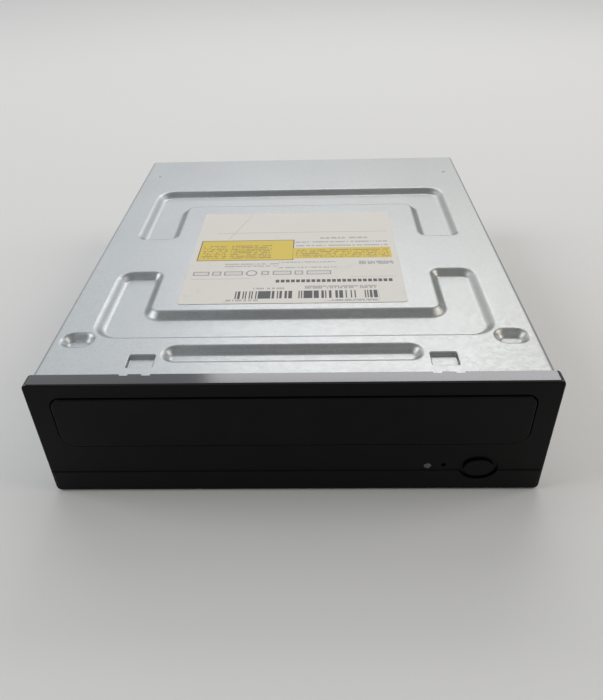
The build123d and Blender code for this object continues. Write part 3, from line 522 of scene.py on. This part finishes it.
def roundCorners(piece, corners, segments=8):
    # corners: (x, y, radius) in millimetres
    for radius in sorted({corner[2] for corner in corners}):
        places = [corner[:2] for corner in corners if corner[2] == radius]
        picked(piece, "vertices", lambda v: any(abs(v.x - x) + abs(v.y - y) < 0.02 for x, y in places))
        bpy.ops.mesh.bevel(offset=radius * mm, segments=segments, affect="VERTICES", profile=0.5)
        closed()


def softWall(depth, reach, steps=8, flat=0.06):
    # rings of a wall in the shape of an S, flat at both ends: how far in and how far down each goes
    drops = [depth * (1 - math.cos(math.pi * i / steps)) / 2 for i in range(steps + 1)]
    slope = [(reach / steps, drops[i + 1] - drops[i]) for i in range(steps)]
    return [(flat, 0.0)] + slope + [(flat, 0.0)]


def pressedIn(piece, rings):
    only(piece)
    everything()
    for inward, down in rings:
        bpy.ops.mesh.inset(thickness=inward * mm, depth=-down * mm, use_even_offset=True)
    closed()
    return piece


def applied(piece, kind, **settings):
    only(piece)
    modifier = piece.modifiers.new(kind.lower(), kind)
    for key, value in settings.items():
        setattr(modifier, key, value)
    bpy.ops.object.modifier_apply(modifier=modifier.name)


def softened(piece, width, segments=3, degrees=50.0):
    # rounds each edge that is sharper than the angle
    applied(
        piece, "BEVEL", limit_method="ANGLE", angle_limit=math.radians(degrees), width=width * mm,
        segments=segments)


def finishedShading(piece, degrees=35.0):
    only(piece)
    bpy.ops.object.shade_smooth_by_angle(angle=math.radians(degrees))
    applied(piece, "WEIGHTED_NORMAL", keep_sharp=True)


def block(name, left, right, near, far, low, high):
    bpy.ops.object.select_all(action="DESELECT")
    middle = ((left + right) / 2 * mm, (near + far) / 2 * mm, (low + high) / 2 * mm)
    bpy.ops.mesh.primitive_cube_add(size=1.0, location=middle)
    bpy.ops.transform.resize(value=((right - left) * mm, (far - near) * mm, (high - low) * mm))
    bpy.ops.object.transform_apply(location=True, rotation=True, scale=True)
    bpy.context.object.name = name
    return bpy.context.object


def bar(name, place, radius, length, turn=(0.0, 0.0, 0.0), sides=32):
    bpy.ops.object.select_all(action="DESELECT")
    where = [v * mm for v in place]
    bpy.ops.mesh.primitive_cylinder_add(
        vertices=sides, radius=radius * mm, depth=length * mm, location=where, rotation=turn)
    bpy.ops.object.transform_apply(location=True, rotation=True, scale=True)
    bpy.context.object.name = name
    return bpy.context.object


def joined(pieces, name):
    only(pieces[0])
    for piece in pieces:
        piece.select_set(True)
    if len(pieces) > 1:
        bpy.ops.object.join()
    bpy.context.object.name = name
    return bpy.context.object


def punched(piece, cutter, operation="DIFFERENCE"):
    applied(piece, "BOOLEAN", object=cutter, operation=operation, solver="EXACT")
    bpy.data.objects.remove(cutter)


def standIn(piece, finish, node):
    finishes[finish].on(piece.name)
    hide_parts(node)
    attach(piece, bodyOf[node])
    return piece


# The pressed cover in millimetres; places along Y count from its front edge
coverShape = {
    "front": -82.4,
    "rear": 87.6,
    "half": 73.0,
    "top": 41.3,
    "sheet": 0.8,
    "bend": 1.4,
    "shoulder": 0.3,
    "rim": 0.45,
    "foot": 0.25,
    "arms": (62.0, 46.2),  # outer and inner side of both arches' arms
    # the arms' end, the crossing's near and far side, and the radii of outer end, inner end, near and far
    "rearArch": (85.0, 115.3, 132.6, (4.0, 4.0, 3.1, 7.0)),
    "frontArch": (59.6, 33.8, 18.7, (5.2, 3.6, 3.1, 8.0)),
    "channel": (2.1, 2.8),  # depth and how far its wall runs in
    # left, right, near, far, corner radius, depth and run
    "bead": (-38.0, 38.0, 6.4, 14.5, 3.8, 2.0, 2.5),
    "dimple": (59.85, 70.15, 14.1, 21.7, 3.6, 2.1, 2.25),
    "pocket": (39.5, 47.4, 3.8, 10.2, 0.55),  # its depth comes from its rings
    "pocketRim": 0.2,
    "pocketRings": [  # how far in and how far down
        (0.05, 0.0), (0.12, 0.02), (0.12, 0.1), (0.1, 0.18),
        (0.04, 0.7), (0.1, 0.16), (0.14, 0.04), (0.05, 0.0),
    ],
    "peck": (66.2, 150.9, 1.0, 0.35, 0.6),  # place, radius, depth and run
    "nubs": [(39.3, 41.4), (45.6, 47.7)],
    "nubReach": 0.45,
    "nubRound": 0.35,
    "tapRadius": 1.27,
    "tapRows": (47.4, 126.64),
    "tapHeights": (10.0, 21.84),
    "window": (3.5, 6.5, 14.7, 21.3),
    "edge": 0.12,
}


def coverArch(name, end, near, far, radii):
    look = coverShape
    grow, front = look["rim"], look["front"]
    way = 1 if far > end else -1
    outer, inner = look["arms"][0] + grow, look["arms"][1] - grow
    end, near, far = front + end - way * grow, front + near - way * grow, front + far + way * grow
    arch = flatPlate(name, -outer, outer, min(end, far), max(end, far), look["top"])
    for x in (-inner, inner):
        halved(arch, (x, 0, 0), (1, 0, 0))
    halved(arch, (0, near, 0), (0, 1, 0))
    low, high = sorted((end, near))
    picked(arch, "polygons", lambda v: abs(v.x) < inner and low < v.y < high)
    bpy.ops.mesh.delete(type="FACE")
    closed()
    oneFace(arch)
    outerEnd, innerEnd, innerNear, outerFar = radii
    corners = []
    for side in (-1, 1):
        corners += [(side * outer, end, outerEnd + grow), (side * inner, end, innerEnd + grow)]
        corners += [(side * inner, near, innerNear - grow), (side * outer, far, outerFar + grow)]
    picked(arch, "vertices", lambda v: all(abs(v.x - x) + abs(v.y - y) > 0.02 for x, y, r in corners))
    bpy.ops.mesh.dissolve_verts()
    closed()
    roundCorners(arch, corners)
    depth, run = look["channel"]
    return pressedIn(arch, softWall(depth, run + grow + look["foot"]))


def coverTub(name, left, right, near, far, radius, rings, grow):
    look = coverShape
    near, far = look["front"] + near - grow, look["front"] + far + grow
    tub = flatPlate(name, left - grow, right + grow, near, far, look["top"])
    roundCorners(tub, [(x, y, radius + grow) for x in (left - grow, right + grow) for y in (near, far)])
    return pressedIn(tub, rings)


def coverPressings():
    look = coverShape
    grow = look["rim"]
    found = [coverArch("rearArch", *look["rearArch"]), coverArch("frontArch", *look["frontArch"])]
    left, right, near, far, radius, depth, run = look["bead"]
    rings = softWall(depth, run + grow + look["foot"])
    found.append(coverTub("bead", left, right, near, far, radius, rings, grow))
    left, right, near, far, radius, depth, run = look["dimple"]
    rings = softWall(depth, run + grow + look["foot"])
    found.append(coverTub("dimple", left, right, near, far, radius, rings, grow))
    found.append(coverTub("dimple", -right, -left, near, far, radius, rings, grow))
    left, right, near, far, radius = look["pocket"]
    rings, grow = look["pocketRings"], look["pocketRim"]
    found.append(coverTub("pocket", left, right, near, far, radius, rings, grow))
    found.append(coverTub("pocket", -right, -left, near, far, radius, rings, grow))
    x, y, radius, depth, run = look["peck"]
    for side in (-1, 1):
        bpy.ops.object.select_all(action="DESELECT")
        place = (side * x * mm, (look["front"] + y) * mm, look["top"] * mm)
        bpy.ops.mesh.primitive_circle_add(vertices=20, radius=radius * mm, fill_type="NGON", location=place)
        bpy.ops.object.transform_apply(location=True, rotation=True, scale=True)
        found.append(pressedIn(bpy.context.object, softWall(depth, run, 4)))
    return found


def coverOutline():
    # the flat top's outline, with the small nubs of its front edge
    look = coverShape
    edge = look["half"] - look["bend"] - look["shoulder"]
    outline = flatPlate("coverSheet", -edge, edge, look["front"], look["rear"], look["top"])
    for left, right in look["nubs"]:
        for x in (-right, -left, left, right):
            halved(outline, (x, 0, 0), (1, 0, 0))

    def onNub(v):
        beside = any(left < abs(v.x) < right for left, right in look["nubs"])
        return beside and abs(v.y - look["front"]) < 0.01

    picked(outline, "edges", onNub)
    bpy.ops.mesh.extrude_edges_move(TRANSFORM_OT_translate={"value": (0, -look["nubReach"] * mm, 0)})
    closed()
    oneFace(outline)
    picked(outline, "vertices", lambda v: v.y < look["front"] - 0.1)
    bpy.ops.mesh.bevel(offset=look["nubRound"] * mm, segments=4, affect="VERTICES", profile=0.5)
    closed()
    only(outline)
    everything()
    bpy.ops.mesh.delete(type="ONLY_FACE")
    closed()
    return outline


def coverSheet():
    look = coverShape
    sheet = joined([coverOutline()] + coverPressings(), "coverSheet")
    bpy.ops.object.mode_set(mode="EDIT")
    bpy.ops.mesh.select_mode(type="EDGE")
    bpy.ops.mesh.select_all(action="DESELECT")
    bpy.ops.mesh.select_non_manifold(
        extend=False, use_wire=True, use_boundary=True, use_multi_face=False,
        use_non_contiguous=False, use_verts=False)
    bpy.ops.mesh.fill(use_beauty=True)
    closed()
    # the sides, turned down over the bend
    edge, sill = look["half"] - look["bend"], look["top"] - look["bend"]
    shoulder = look["shoulder"]
    for side in (-1, 1):
        picked(sheet, "edges", lambda v: abs(v.x - side * (edge - shoulder)) < 0.01)
        bpy.ops.mesh.extrude_edges_move(TRANSFORM_OT_translate={"value": (side * shoulder * mm, 0, 0)})
        bpy.ops.mesh.spin(
            steps=6, angle=-side * math.pi / 2, center=(side * edge * mm, 0, sill * mm), axis=(0, 1, 0))
        bpy.ops.mesh.extrude_edges_move(TRANSFORM_OT_translate={"value": (0, 0, -sill * mm)})
        closed()
    only(sheet)
    everything()
    bpy.ops.mesh.remove_doubles(threshold=0.002 * mm)
    bpy.ops.mesh.dissolve_degenerate(threshold=0.002 * mm)
    bpy.ops.mesh.normals_make_consistent(inside=False)
    closed()
    if max(sheet.data.polygons, key=lambda face: face.area).normal.z < -0.5:
        everything()
        bpy.ops.mesh.flip_normals()
        closed()
    applied(sheet, "SOLIDIFY", thickness=look["sheet"] * mm, offset=-1.0, use_quality_normals=True)
    # tapped holes through both sides, and the windows for the front plate's hooks
    wide, turned = 2 * (look["half"] + past), (0.0, math.pi / 2, 0.0)
    for y in look["tapRows"]:
        for z in look["tapHeights"]:
            punched(sheet, bar("tap", (0, look["front"] + y, z), look["tapRadius"], wide, turned))
    near, far, low, high = look["window"]
    front = look["front"]
    punched(sheet, block("window", -wide / 2, wide / 2, front + near, front + far, low, high))
    softened(sheet, look["edge"], segments=2, degrees=60.0)
    finishedShading(sheet)
    print("cover pressed:", len(sheet.data.polygons), "faces")
    return standIn(sheet, "zincSteel", "top_cover")


# The front plate in millimetres; heights count from the floor, depths from the plate's face
frontShape = {
    "half": 74.1,
    "face": -87.1,
    "back": -82.4,
    "height": 42.0,
    "corner": 1.6,
    "frontRound": 0.6,
    "wall": (1.8, 2.2),  # at the sides and at the face
    "lip": (73.2, 0.35, 0.9, 8.3),  # half width, how proud, low and high
    "lipRound": 0.9,  # as a share of how proud it is
    "opening": (67.8, 18.9, 37.4, 3.4, 5.0),  # half width, low, high, top and low corner radius
    "button": (54.8, 9.5, 4.4, 3.2),  # middle, half width and half height
    "surround": 1.4,
    "surroundDepth": 0.5,
    "buttonGap": 0.15,
    "lamp": (39.7, 10.1, 1.1),
    "release": (44.4, 10.5, 0.7),
    "holeDepth": 4.0,
    "notch": (0.2, 0.65, 40.3),  # gap round a nub of the cover, reach and low
    # left, right, near, far, low and high of the hooks
    "arm": (70.8, 71.9, -86.1, -76.2, 15.0, 21.0),
    "barb": (71.6, 72.7, -78.6, -76.2, 15.0, 21.0),
    "edge": 0.18,
}

# The tray's door, in the same frame
flapShape = {
    "half": 67.4,
    "low": 19.3,
    "high": 37.0,
    "nose": -87.6,
    "back": -84.2,
    "corners": (3.0, 4.6),  # top and low
    "frontRound": 0.5,
    "wall": 1.8,
    "hollowTop": 35.3,
    # left, right, near, far, low and high of the clips
    "hook": (26.0, 34.0, -86.1, -82.8, 34.6, 35.8),
    "barb": (26.0, 34.0, -84.0, -82.8, 34.0, 34.6),
    "edge": 0.15,
}


def slab(name, half, low, high, near, far, topRadius, lowRadius, frontRound=0.0):
    # a block along Y with its four long corners rounded, and its near edges too if a radius is given
    piece = block(name, -half, half, near, far, low, high)
    middle = (near + far) / 2
    for radius, height in ((topRadius, high), (lowRadius, low)):
        picked(
            piece, "edges",
            lambda v: abs(v.y - middle) < 0.01 and abs(v.z - height) < 0.01 and abs(v.x) > half - 0.01)
        bpy.ops.mesh.bevel(offset=radius * mm, segments=8, affect="EDGES")
        closed()
    if frontRound:
        picked(piece, "edges", lambda v: abs(v.y - near) < 0.001)
        bpy.ops.mesh.bevel(offset=frontRound * mm, segments=4, affect="EDGES")
        closed()
    return piece


def oval(name, x, z, wide, high, near, far, sides=56):
    piece = bar(name, (0, 0, 0), 1.0, far - near, (math.pi / 2, 0.0, 0.0), sides)
    only(piece)
    bpy.ops.transform.resize(value=(wide, 1.0, high))
    bpy.ops.transform.translate(value=(x * mm, (near + far) / 2 * mm, z * mm))
    bpy.ops.object.transform_apply(location=True, rotation=True, scale=True)
    return piece


def frontPlate():
    look = frontShape
    face, back, half = look["face"], look["back"], look["half"]
    side, deep = look["wall"]
    top, corner, before = look["height"], look["corner"], face - past
    plate = slab("frontPlate", half, 0.0, top, face, back, corner, corner, look["frontRound"])
    punched(plate, block("hollow", side - half, half - side, face + deep, back + past, side, top - side))
    lipHalf, proud, low, high = look["lip"]
    lip = block("lip", -lipHalf, lipHalf, face - proud, face + past, low, high)
    picked(lip, "edges", lambda v: abs(v.y - face + proud) < 0.001)
    bpy.ops.mesh.bevel(offset=look["lipRound"] * proud * mm, segments=3, affect="EDGES")
    closed()
    punched(plate, lip, "UNION")
    x, z, wide, tall = look["button"]
    rim, gap, through = look["surround"], look["buttonGap"], face + look["holeDepth"]
    punched(plate, oval("surround", x, z, wide + rim, tall + rim, before, face + look["surroundDepth"]))
    punched(plate, oval("hole", x, z, wide + gap, tall + gap, before, through))
    for key in ("lamp", "release"):
        x, z, radius = look[key]
        punched(plate, oval(key, x, z, radius, radius, before, through, 28))
    openHalf, low, high, topRadius, lowRadius = look["opening"]
    punched(plate, slab("opening", openHalf, low, high, before, back + past, topRadius, lowRadius))
    gap, reach, low = look["notch"]
    for side in (-1, 1):
        for left, right in coverShape["nubs"]:
            left, right = sorted((side * (left - gap), side * (right + gap)))
            punched(plate, block("notch", left, right, back - reach, back + past, low, top + past))
        for key in ("arm", "barb"):
            inner, outer, near, far, low, high = look[key]
            left, right = sorted((side * inner, side * outer))
            punched(plate, block(key, left, right, near, far, low, high), "UNION")
    softened(plate, look["edge"])
    finishedShading(plate)
    return standIn(plate, "bezelPlastic", "front_bezel")


def trayFlap():
    look = flapShape
    half, low, nose, back, wall = [look[key] for key in ("half", "low", "nose", "back", "wall")]
    flap = slab("trayFlap", half, low, look["high"], nose, back, *look["corners"], look["frontRound"])
    inner = half - wall
    punched(flap, block("hollow", -inner, inner, nose + wall, back + past, low + wall, look["hollowTop"]))
    for side in (-1, 1):
        for key in ("hook", "barb"):
            inner, outer, near, far, low, high = look[key]
            left, right = sorted((side * inner, side * outer))
            punched(flap, block(key, left, right, near, far, low, high), "UNION")
    softened(flap, look["edge"], segments=2)
    finishedShading(flap)
    return standIn(flap, "doorPlastic", "tray_door")


# The eject button's cap and square stem
capShape = {
    "thick": 3.0,
    "rings": (0.25, 1.15),  # insets of its face, which keep the shading even
    "round": 0.24,
    "stem": 1.5,  # half its width
    "stemNear": 2.0,
    "stemGap": 0.1,
}


def pushButton():
    look = capShape
    x, z, wide, tall = frontShape["button"]
    nose, stem = flapShape["nose"], look["stem"]
    cap = oval("pushButton", x, z, wide, tall, nose, nose + look["thick"])
    picked(cap, "polygons", lambda v: v.y < nose + 0.01)
    for inward in look["rings"]:
        bpy.ops.mesh.inset(thickness=inward * mm, depth=0.0)
    closed()

    def onRim(v):
        return abs(v.y - nose) < 0.001 and ((v.x - x) / wide) ** 2 + ((v.z - z) / tall) ** 2 > 0.97

    picked(cap, "edges", onRim)
    bpy.ops.mesh.bevel(offset=look["round"] * mm, segments=3, affect="EDGES")
    closed()
    near, far = nose + look["stemNear"], frontShape["back"] - look["stemGap"]
    punched(cap, block("stem", x - stem, x + stem, near, far, z - stem, z + stem), "UNION")
    finishedShading(cap, 40.0)
    return standIn(cap, "bezelPlastic", "eject_button")


# The disc tray in millimetres
trayShape = {
    "half": 66.5,
    "front": -84.0,
    "rear": 80.0,
    "under": 29.6,
    "rim": 34.6,
    "rearRound": 2.0,
    "rail": (64.3, 27.0),  # inner side and low
    "apron": (65.5, -85.8, 27.0),  # half width, near and low
    "apart": 0.05,  # keeps the faces of joined blocks from lying in one plane
    "overlap": 0.2,
    "disc": (-13.9, 60.75, 31.8),  # middle, radius and floor
    "smallDisc": (40.6, 30.8),  # radius and floor
    "slot": 18.5,
    # left, right, near, far and floor
    "scoop": (30.0, 46.0, -73.9, -47.9, 31.3),
    "groove": (25.7, 34.3, -84.2, -82.6, 33.8),
    "hollow": (22.0, 47.875, 46.35, 77.0, 32.6),  # its last value is its ceiling
    # first tooth's middle, pitch, count, tips, roots, back and low
    "rack": (-71.354, 3.92699, 39, 50.75, 53.4375, 55.875, 24.6),
    "tooth": (0.72, 0.23),  # width at root and tip, as shares of the pitch
    "toothSunk": 0.3,
    "edge": 0.28,
}


def trayRack():
    # one tooth, narrowed to its tip, copied along the rack's bar
    look = trayShape
    start, pitch, count, tip, root, back, low = look["rack"]
    wide, narrow = look["tooth"]
    top, sunk = look["under"] + look["overlap"], look["toothSunk"]
    tooth = block("tooth", tip, root + sunk, start - wide / 2 * pitch, start + wide / 2 * pitch, low, top)
    picked(tooth, "polygons", lambda v: v.x < tip + 0.01)
    about = (tip * mm, start * mm, low * mm)
    bpy.ops.transform.resize(value=(1.0, narrow / wide, 1.0), center_override=about)
    closed()
    applied(
        tooth, "ARRAY", count=count, use_relative_offset=False, use_constant_offset=True,
        constant_offset_displace=(0.0, pitch * mm, 0.0))
    rack = block("rack", root, back, start - pitch / 2, start + (count - 0.5) * pitch, low, top)
    punched(rack, tooth, "UNION")
    return rack


def discTray():
    look = trayShape
    half, front, rear, under, rim = [look[key] for key in ("half", "front", "rear", "under", "rim")]
    rearRound, apart, overlap = look["rearRound"], look["apart"], look["overlap"]
    tray = block("discTray", -half, half, front, rear, under, rim)
    picked(tray, "edges", lambda v: abs(abs(v.x) - half) < 0.01 and v.y > rear - 0.01)
    bpy.ops.mesh.bevel(offset=rearRound * mm, segments=6, affect="EDGES")
    closed()
    apronHalf, apronNear, low = look["apron"]
    apron = block("apron", -apronHalf, apronHalf, apronNear, front + overlap, low + apart, rim - apart)
    punched(tray, apron, "UNION")
    inner, low = look["rail"]
    for side in (-1, 1):
        left, right = sorted((side * inner, side * (half - apart)))
        rail = block("rail", left, right, front + apart, rear - rearRound - 2 * apart, low, under + overlap)
        punched(tray, rail, "UNION")
    middle, radius, floor = look["disc"]
    high = rim + 2 * past
    punched(tray, bar("disc", (0, middle, (floor + high) / 2), radius, high - floor, sides=120))
    radius, floor = look["smallDisc"]
    punched(tray, bar("disc", (0, middle, (floor + high) / 2), radius, high - floor, sides=96))
    slot = look["slot"]
    punched(tray, bar("slot", (0, middle, rim), slot, 2 * (rim - low + past), sides=72))
    punched(tray, block("slot", -slot, slot, middle, rear + past, low - past, high))
    for side in (-1, 1):
        for key in ("scoop", "groove"):
            inner, outer, near, far, floor = look[key]
            left, right = sorted((side * inner, side * outer))
            punched(tray, block(key, left, right, near, far, floor, high))
        inner, outer, near, far, ceiling = look["hollow"]
        left, right = sorted((side * inner, side * outer))
        punched(tray, block("hollow", left, right, near, far, under - past, ceiling))
    softened(tray, look["edge"], segments=2)
    tray = joined([tray, trayRack()], "discTray")
    finishedShading(tray)
    return standIn(tray, "trayPlastic", "disc_tray")


# Pan-head screws in millimetres: shank radius and length, head radius and height, and whether it is up
screwSets = {
    "caseScrews": ("case_screws", (1.2, 9.0, 2.8, 1.0), False),
    "bridgeScrews": ("bridge_screws", (1.0, 3.6, 2.3, 0.9), True),
    "damperScrews": ("damper_screws", (1.0, 6.0, 2.7, 0.9), True),
    "boardScrews": ("board_screws", (1.0, 4.6, 2.4, 1.0), True),
}
# Shares of the head's radius and height, then of the shank's radius; round and sunk are in millimetres
crossSlot = {"arm": 0.62, "width": 0.16, "depth": 0.65, "tip": 0.35, "round": 0.3, "sunk": 0.01}


def crossScrew(name, size, headUp):
    # one screw at the origin, its head's underside at zero
    shankRadius, length, radius, height = size
    up = 1 if headUp else -1
    head = bar(name, (0, 0, up * height / 2), radius, height, sides=32)
    picked(head, "edges", lambda v: abs(v.z - up * height) < 0.001)
    bpy.ops.mesh.bevel(offset=crossSlot["round"] * mm, segments=3, affect="EDGES")
    closed()
    arm, width = crossSlot["arm"] * radius, crossSlot["width"] * radius
    low, high = sorted((up * height * (1 - crossSlot["depth"]), up * (height + past)))
    punched(head, block("arm", -arm, arm, -width, width, low, high))
    punched(head, block("arm", -width, width, -arm, arm, low, high))
    sunk = crossSlot["sunk"]
    shank = bar("shank", (0, 0, -up * length / 2), shankRadius, length + 2 * sunk, sides=20)
    picked(shank, "edges", lambda v: abs(v.z + up * length) < 3 * sunk)
    bpy.ops.mesh.bevel(offset=crossSlot["tip"] * shankRadius * mm, segments=2, affect="EDGES")
    closed()
    return joined([head, shank], name)


def screwPlaces(node, headHeight, headUp):
    # the middles of the node's loose solids, read from a copy that is split apart
    piece = bpy.data.objects.new("places", frame["nodes"][node].data.copy())
    bpy.context.scene.collection.objects.link(piece)
    only(piece)
    everything()
    bpy.ops.mesh.remove_doubles(threshold=0.004 * mm)
    closed()
    bpy.ops.mesh.separate(type="LOOSE")
    places = []
    for part in list(bpy.context.selected_objects):
        xs, ys, zs = zip(*[vertex.co for vertex in part.data.vertices])
        underside = max(zs) - headHeight * mm if headUp else min(zs) + headHeight * mm
        places.append(((min(xs) + max(xs)) / 2, (min(ys) + max(ys)) / 2, underside))
        bpy.data.objects.remove(part)
    return places


def screwSet(name):
    # a screw for each solid of the node, put where the solid's axis and its head's underside are
    node, size, headUp = screwSets[name]
    pattern = crossScrew(name, size, headUp)
    copies = []
    for x, y, z in screwPlaces(node, size[3], headUp):
        only(pattern)
        bpy.ops.object.duplicate()
        bpy.ops.transform.translate(value=(x, y, z))
        bpy.ops.object.transform_apply(location=True, rotation=True, scale=True)
        copies.append(bpy.context.object)
    bpy.data.objects.remove(pattern)
    screws = joined(copies, name)
    finishedShading(screws, 40.0)
    return standIn(screws, "screwSteel", node)


coverSheet()
frontPlate()
trayFlap()
pushButton()
discTray()
for screwName in screwSets:
    screwSet(screwName)
print("cover, front plate, door, button, tray and screws dressed")


# Camera at the photograph's viewing angle
cameraLook = {
    "place": (8.0 * mm, -222.0 * mm, 151.2 * mm),
    "heading": -2.0,
    "down": 36.0,
    "roll": -1.74,
    "focalPixels": 642.8,
    "pictureHeight": 700.0,
    "sensor": 36.0,
}


def studioCamera():
    look = cameraLook
    heading, down, roll = [math.radians(look[key]) for key in ("heading", "down", "roll")]
    level = math.cos(down)
    ahead = Vector((math.sin(heading) * level, math.cos(heading) * level, -math.sin(down)))
    right = Vector((math.cos(heading), -math.sin(heading), 0.0))
    up = right.cross(ahead)
    across = right * math.cos(roll) + up * math.sin(roll)
    upward = up * math.cos(roll) - right * math.sin(roll)
    data = bpy.data.cameras.new("studioCamera")
    data.lens = look["focalPixels"] / look["pictureHeight"] * look["sensor"]
    data.sensor_width = look["sensor"]
    data.clip_start = 0.01
    camera = bpy.data.objects.new("studioCamera", data)
    bpy.context.scene.collection.objects.link(camera)
    turn = Matrix((across, upward, -ahead)).transposed()
    camera.matrix_world = Matrix.Translation(look["place"]) @ turn.to_4x4()
    bpy.context.scene.camera = camera


# Soft lamps: (name, place, aim, width, height, watts, colour)
lamps = [
    ("backSoftbox", (-0.1, 1.15, 0.95), (0.0, 0.02, 0.03), 2.2, 1.3, 9.2, (0.96, 0.98, 1.0)),
    ("windowStrip", (0.125, 0.62, 0.60), (0.04, -0.08, 0.04), 0.62, 0.12, 1.0, (1.0, 0.98, 1.0)),
    ("leftSoftbox", (-1.05, -0.05, 0.85), (0.0, 0.0, 0.03), 0.7, 0.7, 5.4, (0.93, 0.97, 1.0)),
    ("frontSoftbox", (0.1, -1.35, 0.75), (0.0, 0.0, 0.03), 1.6, 0.6, 2.4, (1.0, 1.0, 1.0)),
    ("rightSoftbox", (1.05, 0.0, 0.8), (0.0, 0.0, 0.03), 0.7, 0.7, 4.6, (1.0, 0.95, 0.88)),
]
floorLook = {"colour": (0.74, 0.73, 0.71), "size": 8.0, "world": 0.26, "worldColour": (0.96, 0.98, 1.0)}


def studioLight():
    for name, place, aim, width, height, watts, colour in lamps:
        data = bpy.data.lights.new(name, "AREA")
        data.shape = "RECTANGLE"
        data.size, data.size_y = width, height
        data.energy = watts
        data.color = colour
        lamp = bpy.data.objects.new(name, data)
        bpy.context.scene.collection.objects.link(lamp)
        turn = (Vector(aim) - Vector(place)).to_track_quat("-Z", "Y")
        lamp.matrix_world = Matrix.Translation(place) @ turn.to_matrix().to_4x4()
    world = bpy.data.worlds.new("studioWorld")
    world.use_nodes = True
    backdrop = world.node_tree.nodes["Background"]
    backdrop.inputs["Color"].default_value = (*floorLook["worldColour"], 1.0)
    backdrop.inputs["Strength"].default_value = floorLook["world"]
    bpy.context.scene.world = world


def studioFloor():
    bpy.ops.object.select_all(action="DESELECT")
    bpy.ops.mesh.primitive_plane_add(size=floorLook["size"], location=(0.0, 0.0, 0.0))
    floor = bpy.context.object
    floor.name = "studioFloor"
    pale = floorLook["colour"]
    paint = Finish("floorPaint", pale, 0.75, specular=0.2)
    cloud = paint.noise(3.0, 3.0, 0.5)
    paint.set("Base Color", paint.blend(cloud, pale, tuple(c * 0.97 for c in pale)))
    floor.data.materials.append(paint.material)


studioCamera()
studioLight()
studioFloor()
bpy.context.scene.view_settings.view_transform = "Standard"
print("camera, lamps and floor set")
